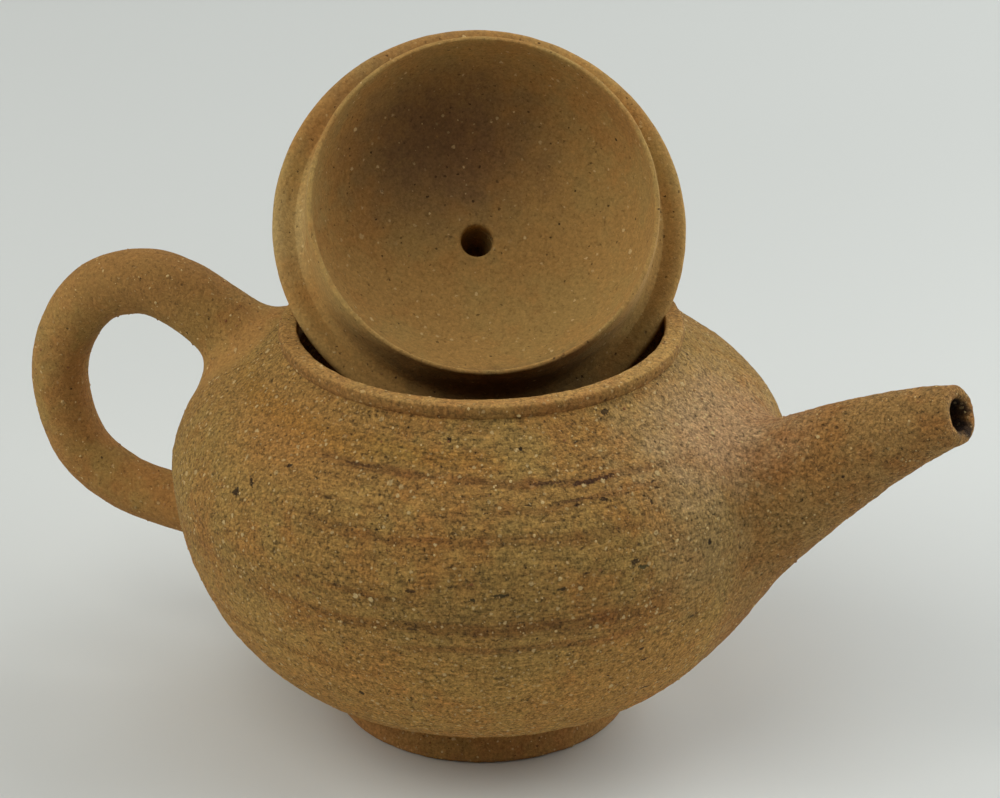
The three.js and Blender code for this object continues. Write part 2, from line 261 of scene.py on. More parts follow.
@dataclass
class Skin:
    """A closed surface laid as rings of the same number of points."""

    rings: list[np.ndarray] = field(default_factory=list)
    thrown: list[np.ndarray] = field(default_factory=list)
    shown: list[np.ndarray] = field(default_factory=list)

    def add(self, ring: np.ndarray, thrown: np.ndarray | float = 1.0, shown: float = 1.0) -> None:
        """Adds a ring.

        Args:
            ring: Its points.
            thrown: How much of the wheel's marks each point takes.
            shown: Whether coarse grains may stand on it, from 0 to 1.
        """
        self.rings.append(ring)
        for values, value in ((self.thrown, thrown), (self.shown, shown)):
            values.append(np.broadcast_to(np.asarray(value, float), (len(ring),)))

    def add_all(
        self,
        rings: Sequence[np.ndarray],
        thrown: Sequence[np.ndarray] | float = 1.0,
        shown: float = 1.0,
    ) -> None:
        """Adds several rings.

        Args:
            rings: Their points.
            thrown: How much of the wheel's marks they take, as one number or ring by ring.
            shown: Whether coarse grains may stand on them, from 0 to 1.
        """
        marks = [thrown] * len(rings) if isinstance(thrown, float) else thrown
        for ring, mark in zip(rings, marks):
            self.add(ring, mark, shown)

    def build(self, name: str, looped: bool) -> bpy.types.Object:
        """Makes the mesh object.

        Args:
            name: The piece's name.
            looped: Whether the last ring meets the first. Otherwise each end is closed by a point.

        Returns:
            The object, in metres and at the origin.
        """
        count = len(self.rings[0])
        points = np.concatenate(self.rings)
        traits = {"thrown": np.concatenate(self.thrown), "shown": np.concatenate(self.shown)}
        here = np.arange(count)
        after = (here + 1) % count
        faces = []
        last = len(self.rings) if looped else len(self.rings) - 1
        for row in range(last):
            low, high = row * count, ((row + 1) % len(self.rings)) * count
            faces.append(np.stack([low + here, low + after, high + after, high + here], 1))
        quads = np.concatenate(faces)
        caps: list[tuple[int, int, int]] = []
        if not looped:
            first, second = len(points), len(points) + 1
            points = np.concatenate([points, [self.rings[0].mean(0), self.rings[-1].mean(0)]])
            for key, values in traits.items():
                traits[key] = np.concatenate([values, [values[0], values[-1]]])
            top = (len(self.rings) - 1) * count
            caps = [(first, int(b), int(a)) for a, b in zip(here, after)]
            caps += [(second, int(top + a), int(top + b)) for a, b in zip(here, after)]
        mesh = bpy.data.meshes.new(name)
        mesh.from_pydata((points * MM).tolist(), [], quads.tolist() + caps)
        shaped = bmesh.new()
        shaped.from_mesh(mesh)
        bmesh.ops.recalc_face_normals(shaped, faces=shaped.faces)
        shaped.to_mesh(mesh)
        shaped.free()
        mesh.polygons.foreach_set("use_smooth", [True] * len(mesh.polygons))
        for key, values in traits.items():
            layer = mesh.attributes.new(key, "FLOAT", "POINT")
            layer.data.foreach_set("value", values.astype(np.float32))
        return placed_object(name, mesh)


def placed_object(name: str, data: bpy.types.ID) -> bpy.types.Object:
    """Puts an object into the scene, at the origin.

    Args:
        name: Its name.
        data: Its mesh, camera or lamp.

    Returns:
        The object.
    """
    piece = bpy.data.objects.new(name, data)
    bpy.context.scene.collection.objects.link(piece)
    return piece


def spun_ring(radius: float, height: float, count: int) -> np.ndarray:
    """A level ring of points about the axis.

    Args:
        radius: Its radius.
        height: Its height.
        count: Number of points.

    Returns:
        The points.
    """
    angle = np.arange(count) * (ROUND / count)
    return np.stack([radius * np.cos(angle), radius * np.sin(angle), np.full(count, height)], 1)


def lathe(name: str, profile: np.ndarray, count: int, thrown: float = 1.0) -> bpy.types.Object:
    """A closed profile spun about the axis.

    Args:
        name: The piece's name.
        profile: Closed line of radius and height.
        count: Number of points round it.
        thrown: How much of the wheel's marks it takes.

    Returns:
        The piece.
    """
    skin = Skin()
    skin.add_all([spun_ring(radius, height, count) for radius, height in profile], thrown)
    return skin.build(name, looped=True)


# Node trees


class Wire:
    """The value of a socket, with arithmetic that adds Math nodes to its tree."""

    def __init__(self, tree: "Weave", socket: bpy.types.NodeSocket) -> None:
        """Wraps a socket.

        Args:
            tree: The tree that it is in.
            socket: The output socket.
        """
        self.tree = tree
        self.socket = socket

    def math(self, operation: str, *others: "Wire | float", clamp: bool = False) -> "Wire":
        """A Math node on this value.

        Args:
            operation: The node's operation.
            others: Its other values.
            clamp: Whether the result is kept from 0 to 1.

        Returns:
            The result.
        """
        values = dict(enumerate((self, *others)))
        return self.tree.add("ShaderNodeMath", {"operation": operation, "use_clamp": clamp}, values)[0]

    def __add__(self, other: "Wire | float") -> "Wire":
        """The sum."""
        return self.math("ADD", other)

    __radd__ = __add__

    def __sub__(self, other: "Wire | float") -> "Wire":
        """The difference."""
        return self.math("SUBTRACT", other)

    def __rsub__(self, other: float) -> "Wire":
        """A number less this value."""
        return self.tree.number(other).math("SUBTRACT", self)

    def __mul__(self, other: "Wire | float") -> "Wire":
        """The product."""
        return self.math("MULTIPLY", other)

    __rmul__ = __mul__

    def __truediv__(self, other: "Wire | float") -> "Wire":
        """The quotient."""
        return self.math("DIVIDE", other)

    def __rtruediv__(self, other: float) -> "Wire":
        """A number divided by this value."""
        return self.tree.number(other).math("DIVIDE", self)

    def rise(self, low: float, high: float) -> "Wire":
        """A smooth rise from 0 at low to 1 at high, or a fall where low is above high.

        Args:
            low: Where it is 0.
            high: Where it is 1.

        Returns:
            The rise.
        """
        falls = low > high
        values = {
            "Value": self,
            "From Min": min(low, high),
            "From Max": max(low, high),
            "To Min": float(falls),
            "To Max": float(not falls),
        }
        settings = {"interpolation_type": "SMOOTHSTEP", "clamp": True}
        return self.tree.add("ShaderNodeMapRange", settings, values)["Result"]


class Placed:
    """A node in a tree, whose outputs are read as wires."""

    def __init__(self, tree: "Weave", node: bpy.types.Node) -> None:
        """Wraps a node.

        Args:
            tree: The tree that it is in.
            node: The node.
        """
        self.tree = tree
        self.node = node

    def __getitem__(self, key: int | str) -> Wire:
        """Reads an output.

        Args:
            key: Its number or its name. Where several share a name, the first in use is taken.

        Returns:
            The output as a wire.
        """
        if isinstance(key, int):
            return Wire(self.tree, self.node.outputs[key])
        return Wire(self.tree, next(s for s in self.node.outputs if s.name == key and s.enabled))


class Weave:
    """A node tree being written."""

    def __init__(self, tree: bpy.types.NodeTree) -> None:
        """Starts on a tree.

        Args:
            tree: An empty tree.
        """
        self.tree = tree

    def add(
        self,
        kind: str,
        settings: dict[str, object] | None = None,
        values: dict[int | str, object] | None = None,
    ) -> Placed:
        """Adds a node.

        Args:
            kind: The node's type.
            settings: Its own settings.
            values: Values or wires for its sockets, by name or number. A list puts several on one
                socket.

        Returns:
            The node.
        """
        node = self.tree.nodes.new(kind)
        for key, value in (settings or {}).items():
            setattr(node, key, value)
        for key, value in (values or {}).items():
            if isinstance(key, str):
                socket = next(s for s in node.inputs if s.name == key and s.enabled)
            else:
                socket = node.inputs[key]
            for part in value if isinstance(value, list) else [value]:
                if isinstance(part, Wire):
                    self.tree.links.new(part.socket, socket)
                else:
                    socket.default_value = part
        return Placed(self, node)

    def number(self, value: float) -> Wire:
        """A plain number as a wire.

        Args:
            value: The number.

        Returns:
            The wire.
        """
        placed = self.add("ShaderNodeValue")
        placed.node.outputs[0].default_value = value
        return placed[0]

    def vector(self, operation: str, values: dict[int | str, object], output: int = 0) -> Wire:
        """A Vector Math node.

        Args:
            operation: The node's operation.
            values: Its values.
            output: Which output is wanted, 0 for a vector and 1 for a number.

        Returns:
            The result.
        """
        return self.add("ShaderNodeVectorMath", {"operation": operation}, values)[output]

    def stretch(self, where: Wire, scale: Sequence[float], shift: Sequence[float] = (0, 0, 0)) -> Wire:
        """A place stretched and moved.

        Args:
            where: The place.
            scale: Factor along each axis.
            shift: What is added after that.

        Returns:
            The new place.
        """
        return self.vector("MULTIPLY_ADD", {0: where, 1: tuple(scale), 2: tuple(shift)})

    def millimetres(self, place: Wire) -> Wire:
        """A place in metres as one in millimetres."""
        return self.stretch(place, (1 / MM,) * 3)

    def noise(
        self, where: Wire, size: Wire | float, detail: float = 3.0, rough: float = 0.55, seed: float = 0.0
    ) -> Wire:
        """Noise around one half.

        Args:
            where: Place in millimetres.
            size: Size of its clouds, in millimetres.
            detail: Number of finer layers.
            rough: How strong these are.
            seed: Moves the pattern.

        Returns:
            The noise.
        """
        moved = self.stretch(where, (1, 1, 1), (seed, seed * 1.7, seed * 0.6)) if seed else where
        values = {"Vector": moved, "Scale": 1 / size, "Detail": detail, "Roughness": rough}
        return self.add("ShaderNodeTexNoise", {"noise_dimensions": "3D"}, values)[0]

    def mix(self, share: Wire | float, first: object, second: object, blend: str = "MIX") -> Wire:
        """A mix of two colours.

        Args:
            share: How much of the second.
            first: A colour or a wire.
            second: A colour or a wire.
            blend: How they are mixed.

        Returns:
            The colour.
        """
        values = {"Factor": share, "A": first, "B": second}
        return self.add("ShaderNodeMix", {"data_type": "RGBA", "blend_type": blend}, values)["Result"]

    def ragged(self, where: Wire, size: float, reach: float) -> Wire:
        """Places pushed about at random, which makes the outline of a pattern uneven.

        Args:
            where: Place in millimetres.
            size: Size of the unevenness.
            reach: How far places are pushed.

        Returns:
            The pushed places.
        """
        push = self.add("ShaderNodeTexNoise", {}, {"Vector": where, "Scale": 1 / size, "Detail": 2.0})[1]
        centred = self.stretch(push, (2 * reach,) * 3, (-reach,) * 3)
        return self.vector("ADD", {0: where, 1: centred})

    def specks(self, where: Wire, size: float, share: float, radius: float) -> tuple[Wire, Wire]:
        """Scattered round spots, one in some of the cells of a lattice.

        Args:
            where: Place in millimetres.
            size: Size of a cell.
            share: How many of the cells hold a spot, from 0 to 1.
            radius: Radius of the largest spot, as a share of the cell.

        Returns:
            How far a point is inside a spot, and a random number for each spot.
        """
        cells = self.add("ShaderNodeTexVoronoi", {"feature": "F1"}, {"Vector": where, "Scale": 1 / size})
        parts = self.add("ShaderNodeSeparateColor", {}, {0: cells["Color"]})
        chosen = parts[0].rise(1 - share - 0.01, 1 - share + 0.01)
        reach = parts[1] * (radius * 0.65) + radius * 0.35
        inside = (reach - cells["Distance"]) / radius
        return inside.rise(0.0, 0.35) * chosen, parts[2]

    def fired_clay(self, colour: Wire, rough: Wire, height: Wire, strength: float) -> None:
        """Ends a material of unglazed clay.

        Args:
            colour: Its colour.
            rough: Its roughness.
            height: The height of its relief, in millimetres.
            strength: How strongly the relief shows.
        """
        relief = {"Strength": strength, "Distance": MM, "Height": height}
        bump = self.add("ShaderNodeBump", {}, relief)["Normal"]
        values = {"Base Color": colour, "Roughness": rough, "Normal": bump, "Specular IOR Level": CLAY_GLOSS}
        shader = self.add("ShaderNodeBsdfPrincipled", {}, values)
        self.add("ShaderNodeOutputMaterial", {}, {"Surface": shader[0]})


# Finishes


Colour = tuple[float, float, float, float]


def new_material(name: str, shown: Colour) -> tuple[bpy.types.Material, Weave]:
    """Starts a material.

    Args:
        name: Its name.
        shown: The colour that stands for it in a plain view.

    Returns:
        The material and its empty tree.
    """
    made = bpy.data.materials.new(name)
    made.use_nodes = True
    made.node_tree.nodes.clear()
    made.diffuse_color = shown
    return made, Weave(made.node_tree)


def screen(red: int, green: int, blue: int) -> Colour:
    """A screen colour as the shader's linear one.

    Args:
        red: Red from 0 to 255.
        green: Green from 0 to 255.
        blue: Blue from 0 to 255.

    Returns:
        The linear colour with full alpha.
    """
    parts = [v / 255 / 12.92 if v <= 10 else ((v / 255 + 0.055) / 1.055) ** 2.4 for v in (red, green, blue)]
    return (*parts, 1.0)


def tint(level: float, red: float = 1.0, blue: float = 1.0) -> Colour:
    """A factor on a colour: how bright, and how much redder or bluer than it was."""
    return (level * red, level, level * blue, 1.0)


@dataclass(frozen=True)
class Scar:
    """A pit, a dragged gouge or a chip in the clay's skin, or a soft patch of another shade.

    Its middle is given by turn, radius and height, and its size by length, width and depth. A small
    edge is a sharp one.
    """

    turn: float
    radius: float
    height: float
    length: float
    width: float
    slope: float = 0.0
    colour: Colour = screen(38, 25, 13)
    strength: float = 0.88
    depth: float = 6.0
    edge: float = 0.3

    def mask(self, w: Weave, where: Wire, fray: Wire) -> Wire:
        """How far a point lies in the scar.

        Args:
            w: The material's tree.
            where: Place in millimetres.
            fray: Noise around one half that frays its edge.

        Returns:
            The share, from 0 to 1.
        """
        angle = math.radians(self.turn)
        centre = (self.radius * math.cos(angle), self.radius * math.sin(angle), self.height)
        values = {
            "Vector": where,
            "Location": centre,
            "Rotation": (0.0, math.radians(self.slope), angle + math.pi / 2),
            "Scale": (self.length / 2, self.depth / 2, self.width / 2),
        }
        local = w.add("ShaderNodeMapping", {"vector_type": "TEXTURE"}, values)[0]
        frayed = w.vector("LENGTH", {0: local}, 1) + (fray - 0.5) * (0.75 / self.edge)
        return frayed.rise(1.1, 1.1 - self.edge) * self.strength


def tone_and_light_patch(
    place: Sequence[float], size: Sequence[float], colour: Colour, strength: float, edge: float = 1.0
) -> Scar:
    """A soft patch of another shade: some are the clay's own fired tone, others painted shade or a painted
    sheen.

    Args:
        place: Turn, radius and height of its middle.
        size: Its length, width and depth.
        colour: Its shade.
        strength: How much of the shade its middle has.
        edge: How soft it is, from 0 to 1.

    Returns:
        The patch.
    """
    length, width, depth = size
    return Scar(*place, length, width, colour=colour, strength=strength, depth=depth, edge=edge)


@dataclass(frozen=True)
class Band:
    """A stretch of one of the wheel's rings where the clay fired to another shade."""

    turn: float
    spread: float
    height: float
    half: float
    shade: Colour
    slope: float = 0.0

    def mask(self, turn: Wire, height: Wire) -> Wire:
        """How far a point lies in the band.

        Args:
            turn: The point's angle round the pot, in degrees.
            height: Its height in millimetres.

        Returns:
            The share, from 0 to 1.
        """
        along = turn - self.turn
        level = height - along * self.slope - self.height
        ends = (along.math("ABSOLUTE") / self.spread).rise(1.0, 0.45)
        return ends * (level.math("ABSOLUTE") / self.half).rise(1.0, 0.25)


BODY_SCARS = (
    Scar(-122.3, 42.7, 46.4, 1.25, 1.0),
    Scar(-119.6, 41.5, 48.3, 1.7, 0.32, slope=35),
    Scar(-112.8, 38.3, 51.4, 0.9, 0.35, slope=-15),
    Scar(-97.0, 34.5, 53.3, 4.2, 0.26, colour=screen(84, 52, 26), strength=0.6),
    Scar(-35.3, 29.9, 57.7, 1.3, 0.5, strength=0.8),
    Scar(-77.7, 31.1, 56.6, 0.6, 0.4),
    Scar(-60.5, 32.5, 55.7, 0.5, 0.3),
    Scar(-35.8, 41.2, 48.5, 0.45, 0.5),
    Scar(-25.8, 44.7, 41.5, 0.85, 1.05),
    Scar(-42.3, 44.5, 42.3, 1.2, 0.6, strength=0.8),
    Scar(-40.8, 44.6, 41.4, 1.5, 0.6, colour=screen(88, 80, 46)),
    Scar(-46.0, 37.2, 52.0, 6.5, 0.34, slope=-1, colour=screen(58, 32, 22), strength=0.75),
    Scar(-56.0, 36.7, 52.4, 4.6, 0.24, colour=screen(58, 32, 22), strength=0.6),
    Scar(-45.4, 39.3, 50.1, 1.2, 0.4, strength=0.8),
    Scar(-52.0, 39.4, 50.5, 6.0, 0.24, colour=screen(66, 40, 26), strength=0.5),
    Scar(-67.0, 44.9, 40.1, 2.0, 0.5, colour=screen(62, 54, 32), strength=0.85),
    Scar(-71.4, 44.9, 39.5, 0.8, 0.4, colour=screen(62, 54, 32)),
    Scar(-56.0, 44.9, 40.4, 1.1, 0.45, colour=screen(66, 54, 32)),
    Scar(-94.5, 40.4, 20.4, 1.0, 0.7, colour=screen(56, 38, 22)),
    Scar(-39.5, 44.0, 27.7, 0.9, 0.5, colour=screen(60, 42, 24)),
    Scar(-38.2, 43.4, 25.4, 1.3, 0.45, colour=screen(60, 42, 24)),
    Scar(-34.0, 38.6, 18.3, 1.9, 0.4, colour=screen(70, 50, 28)),
    Scar(96.0, 43.6, 45.2, 1.2, 0.7),
    Scar(140.0, 44.7, 37.0, 1.0, 0.8),
    Scar(62.0, 40.9, 49.0, 3.0, 0.34, strength=0.8),
    Scar(118.0, 38.0, 51.6, 2.2, 0.5, slope=10),
)

# Patches on the body: khaki and orange tones of the clay, and one painted sheen.
BODY_TONE_AND_SHEEN_PATCHES = (
    tone_and_light_patch((-27.0, 43.0, 42.0), (24.0, 26.0, 20.0), screen(160, 131, 84), 0.6),
    # Painted sheen: the pale patch on the right shoulder, where light from the right glances off the clay.
    tone_and_light_patch((-9.0, 37.0, 52.5), (48.0, 21.0, 30.0), screen(182, 149, 110), 0.62),
    tone_and_light_patch((-119.0, 36.0, 53.5), (38.0, 15.0, 24.0), screen(166, 117, 58), 0.7),
    tone_and_light_patch((34.0, 43.0, 42.0), (24.0, 26.0, 20.0), screen(160, 131, 84), 0.6),
)

# Patches on the handle: a darker tone over its top, and painted shade on its inner face.
HANDLE_TONE_AND_SHADE_PATCHES = (
    tone_and_light_patch((180.0, 50.0, 60.5), (34.0, 16.0, 44.0), screen(140, 101, 52), 0.7),
    # Painted shade on the inner face of the handle's back, which faces away from the light.
    tone_and_light_patch((180.0, 58.4, 42.0), (16.0, 26.0, 11.0), screen(112, 78, 42), 0.8),
)

# Painted shade inside the spout's bore, which lies in its own shadow.
BORE_PAINTED_SHADE = tone_and_light_patch((0.0, 67.4, 55.8), (7.0, 7.0, 10.4), screen(46, 30, 20), 1.0, edge=0.5)

# Patches on the lid: painted shade in its hollow and in the gap under it, and a khaki-grey tone on the left
# of its ledge.
LID_TONE_AND_SHADE_PATCHES = (
    # Painted shade over the upper part of the lid's hollow, whose wall there faces away from the light.
    tone_and_light_patch((124.0, 25.5, 79.5), (48.0, 38.0, 38.0), screen(116, 86, 58), 0.85),
    tone_and_light_patch((-173.5, 28.4, 72.5), (16.0, 32.0, 12.0), screen(174, 148, 96), 0.7),
    # Painted shade on the flange's outer side, in the dark gap between the leaning lid and the rim.
    tone_and_light_patch((-62.0, 9.6, 53.6), (50.0, 14.0, 13.0), screen(84, 62, 40), 0.65, edge=0.8),
)

BODY_BANDS = (
    Band(-112, 62, 54.8, 1.6, tint(0.93, red=1.04, blue=0.84)),
    Band(-66, 52, 52.55, 0.66, tint(0.58, red=1.14, blue=0.98), slope=-0.021),
    Band(-52, 26, 50.2, 0.55, tint(0.74, red=1.10)),
    Band(-88, 34, 49.5, 0.6, tint(0.93, red=1.03)),
    Band(-74, 40, 46.9, 1.2, tint(0.72, red=1.12, blue=0.96)),
    Band(-60, 24, 42.6, 1.2, tint(0.93)),
    Band(-95, 15, 39.0, 0.8, tint(0.70, red=1.12, blue=0.93)),
    Band(-123, 20, 36.6, 0.55, tint(0.86, red=1.05)),
    Band(-78, 50, 34.7, 1.4, tint(0.66, red=1.16, blue=0.93), slope=-0.004),
    Band(-58, 27, 35.4, 3.4, tint(0.84, red=1.05)),
    Band(-60, 36, 31.6, 0.8, tint(0.72, red=1.14)),
    Band(-114, 30, 25.4, 1.2, tint(0.80, red=1.07, blue=0.92)),
    Band(96, 58, 52.4, 0.7, tint(0.72, red=1.10)),
    Band(78, 44, 46.4, 1.3, tint(0.80, red=1.08)),
    Band(116, 48, 39.0, 0.8, tint(0.74, red=1.10)),
    Band(92, 50, 34.0, 1.7, tint(0.74, red=1.10)),
    Band(120, 36, 25.6, 1.2, tint(0.82, red=1.07)),
)


@dataclass(frozen=True)
class ClayFinish:
    """Unglazed fired clay with sand and grog in it."""

    name: str
    base: Colour = screen(156, 119, 61)
    warm: Colour = screen(161, 111, 53)
    cool: Colour = screen(156, 126, 67)
    limb: Colour = screen(156, 114, 60)
    grain: Colour = screen(220, 190, 132)
    # Colour of the pits and gouges, and of the painted shade between grains.
    pit: Colour = screen(50, 34, 20)
    warm_share: float = 0.62
    cool_share: float = 0.7
    sand: float = 1.0
    drags: float = 0.0
    grains: float = 1.0
    pits: float = 1.0
    relief: float = 1.0
    roughness: float = 0.92
    painted_light_above: float = 0.0
    tone_and_light_patches: tuple[Scar, ...] = ()
    bands: tuple[Band, ...] = ()
    scars: tuple[Scar, ...] = ()

    def material(self) -> bpy.types.Material:
        """Writes the material.

        Returns:
            The finished material.
        """
        made, w = new_material(self.name, self.base)
        mm = w.millimetres(w.add("ShaderNodeTexCoord")["Object"])
        thrown = w.add("ShaderNodeAttribute", {"attribute_name": "thrown"})["Fac"]
        dragged = self.dragged(w, mm, thrown)
        ground = self.ground(w, mm, thrown, dragged)
        colour, height = self.grit(w, mm, thrown, ground, dragged)
        rough = w.noise(mm, 2.0, 2.0) * 0.1 + (self.roughness - 0.05)
        w.fired_clay(colour, rough, height, self.relief)
        return made

    def dragged(self, w: Weave, mm: Wire, thrown: Wire) -> Wire:
        """Where the potter's rib dragged the sand along the wall.

        Args:
            w: The tree.
            mm: Place in millimetres.
            thrown: How much of the wheel's marks a point takes.

        Returns:
            The share, from 0 to 1.
        """
        if not self.drags:
            return w.number(0.0)
        outward = w.vector("NORMALIZE", {0: w.stretch(mm, (1, 1, 0))})
        middle = math.radians(RIB_TURN)
        facing = w.vector("DOT_PRODUCT", {0: outward, 1: (math.cos(middle), math.sin(middle), 0)}, 1)
        wander = w.noise(mm, 13, 2.0, seed=4) * 0.5 - 0.25
        zone = (facing.math("ABSOLUTE") + wander).rise(0.62, 0.88)
        height = w.add("ShaderNodeSeparateXYZ", {}, {0: mm})["Z"]
        return zone * thrown * height.rise(15, 32) * self.drags

    def ground(self, w: Weave, mm: Wire, thrown: Wire, dragged: Wire) -> Wire:
        """The slow changes of colour that the kiln and the wheel left, and the finish's painted sheen,
        painted shade and painted top light.

        Args:
            w: The tree.
            mm: Place in millimetres.
            thrown: How much of the wheel's marks a point takes.
            dragged: Where the sand was dragged along the wall.

        Returns:
            The colour.
        """
        clouds = w.noise(mm, 24, 5.0, 0.6, seed=11)
        flecks = w.noise(mm, 3.4, 2.0, 0.6, seed=3)
        colour = w.mix(thrown, self.limb, self.base)
        colour = w.mix((clouds * 0.75 + flecks * 0.25).rise(0.46, 0.62) * self.warm_share, colour, self.warm)
        khaki = w.noise(mm, 14, 5.0, 0.6, seed=29) * 0.75 + flecks * -0.25 + 0.25
        colour = w.mix(khaki.rise(0.45, 0.60) * self.cool_share, colour, self.cool)
        # Patches of the clay's own tone, and patches of painted sheen and painted shade, as the finish lists
        # them.
        for tone_and_light_patch in self.tone_and_light_patches:
            colour = w.mix(tone_and_light_patch.mask(w, mm, flecks), colour, tone_and_light_patch.colour)
        place = w.add("ShaderNodeSeparateXYZ", {}, {0: mm})
        # Painted top light: above the given height the colour is lifted, a painted highlight on the flat top
        # of the rim that faces the lamps.
        if self.painted_light_above:
            edge = place["Z"] + w.noise(mm, 3.0, 3.0) * 0.3 - 0.15
            painted_top_light = edge.rise(self.painted_light_above, self.painted_light_above + 0.2)
            colour = w.mix(painted_top_light, colour, tint(1.38, red=0.94, blue=1.06), "MULTIPLY")
        if not self.bands:
            return colour
        turn = place["Y"].math("ARCTAN2", place["X"]) * (180 / math.pi)
        wander = w.noise(w.stretch(mm, (0.3, 0.3, 1)), 5.0, 4.0, 0.6, seed=2) * 3.2 - 1.6
        level = place["Z"] + wander
        rings = w.noise(w.stretch(mm, (0.07, 0.07, 1)), 0.8, 4.0, 0.7, seed=8)
        breaks = (w.noise(mm, 4.5, 3.0, 0.65, seed=5) * 0.5 + rings * 0.5).rise(0.30, 0.50) * thrown
        colour = w.mix(place["Z"].rise(38, 23) * thrown, colour, tint(1.17, red=1.07, blue=0.95), "MULTIPLY")
        for band in self.bands:
            colour = w.mix(band.mask(turn, level) * breaks, colour, band.shade, "MULTIPLY")
        return w.mix(rings.rise(0.50, 0.70) * dragged * 0.5, colour, tint(0.72, red=1.08), "MULTIPLY")

    def grit(self, w: Weave, mm: Wire, thrown: Wire, colour: Wire, dragged: Wire) -> tuple[Wire, Wire]:
        """The sand, the grog and the pits, with painted shade between the grains.

        Args:
            w: The tree.
            mm: Place in millimetres.
            thrown: How much of the wheel's marks a point takes.
            colour: The ground colour.
            dragged: Where the sand was dragged along the wall.

        Returns:
            The colour and the height of the relief in millimetres.
        """
        uneven = w.ragged(mm, 0.45, 0.27)
        cells = w.add("ShaderNodeTexVoronoi", {"feature": "F1"}, {"Vector": uneven, "Scale": 1 / 0.36})
        sand = w.add("ShaderNodeSeparateColor", {}, {0: cells["Color"]})[0]
        fine = w.noise(mm, 0.62, 3.0, 0.85, seed=6)
        lanes = w.noise(w.stretch(mm, (0.13, 0.13, 1)), 0.4, 3.0, 0.7, seed=9)
        # The last term in the tone is painted shade: each sand cell gets darker towards its edge, where the
        # grains meet.
        tone = 1.14 + self.sand * ((sand - 0.5) * 0.68 + (fine - 0.5) * 2.5 + (0.5 - cells["Distance"]) * 0.5)
        colour = w.vector("SCALE", {0: colour, "Scale": tone + dragged * (lanes - 0.5) * 1.7})

        small, small_dice = w.specks(uneven, 0.8, 0.36 * self.grains, 0.42)
        large, large_dice = w.specks(w.stretch(uneven, (1, 1, 1), (5, 5, 5)), 1.9, 0.26 * self.grains, 0.27)
        rare = thrown * 0.6 + 0.4
        colour = w.mix(small * rare * (0.2 + 0.7 * small_dice), colour, self.grain)
        colour = w.mix(large * rare * (0.5 + 0.5 * large_dice), colour, self.grain)

        # Painted shade in the hollows between grains; the relief below also sinks them.
        crevice_shade = fine.rise(0.35, 0.30) * self.sand
        dots, dot_dice = w.specks(w.stretch(uneven, (1, 1, 1), (1, 8, 3)), 0.9, 0.32 * self.pits, 0.28)
        gouges, _ = w.specks(w.stretch(uneven, (0.3, 0.3, 1), (2, 2, 9)), 0.8, 0.34, 0.36)
        rows = w.noise(w.stretch(mm, (0.12, 0.12, 1)), 2.6, 2.0, seed=14).rise(0.5, 0.62)
        dark = (dots * (0.4 + 0.6 * dot_dice)).math("MAXIMUM", crevice_shade * 0.9)
        dark = dark.math("MAXIMUM", gouges * rows * dragged)
        colour = w.mix(dark * 0.85, colour, self.pit)
        wounds = w.ragged(mm, 0.5, 0.28) if self.scars else mm
        for scar in self.scars:
            mark = scar.mask(w, wounds, fine)
            colour = w.mix(mark, colour, scar.colour)
            dark = dark.math("MAXIMUM", mark)

        lumps = w.noise(mm, 1.5, 2.0, 0.6, seed=21)
        domes = cells["Distance"] * -0.12 + sand * 0.1
        height = (
            (domes + fine * 0.5 + lumps * 0.4) * self.sand
            + lanes * dragged * 0.25
            + large * 0.16
            + small * 0.08
            - dark * 0.42
        )
        return colour, height


class Clay(Enum):
    """The finishes of the teapot's pieces."""

    THROWN = ClayFinish("thrown_clay", drags=1.0, tone_and_light_patches=BODY_TONE_AND_SHEEN_PATCHES, bands=BODY_BANDS, scars=BODY_SCARS)
    SPOUT = ClayFinish(
        "spout_clay",
        limb=screen(154, 111, 58),
        warm=screen(151, 100, 49),
        cool=screen(157, 123, 70),
        drags=1.0,
        pits=0.7,
        bands=BODY_BANDS,
        tone_and_light_patches=(*BODY_TONE_AND_SHEEN_PATCHES, BORE_PAINTED_SHADE),
        scars=BODY_SCARS[8:9],
    )
    HANDLE = ClayFinish(
        "handle_clay",
        limb=screen(161, 119, 63),
        warm=screen(156, 108, 54),
        sand=0.45,
        pits=0.5,
        grains=0.4,
        bands=BODY_BANDS,
        tone_and_light_patches=HANDLE_TONE_AND_SHADE_PATCHES,
    )
    # The rim's base is darker than the body's: partly the band's own orange-brown, partly painted shade on
    # its upright face; its flat top is painted lighter as a painted highlight.
    RIM = ClayFinish(
        "rim_clay",
        base=screen(143, 104, 53),
        limb=screen(144, 105, 54),
        warm=screen(143, 95, 46),
        cool_share=0.3,
        sand=0.8,
        grains=0.5,
        pits=0.9,
        relief=0.7,
        painted_light_above=60.2,
    )
    LID = ClayFinish(
        "lid_clay",
        base=screen(168, 131, 73),
        warm=screen(163, 118, 62),
        cool=screen(162, 133, 76),
        sand=0.4,
        grains=0.3,
        pits=1.0,
        relief=0.6,
        tone_and_light_patches=LID_TONE_AND_SHADE_PATCHES,
    )
    FOOT = ClayFinish(
        "foot_clay",
        base=screen(164, 117, 64),
        warm=screen(156, 104, 54),
        cool_share=0.4,
        sand=0.6,
        grains=0.5,
        pits=0.5,
        relief=0.5,
    )


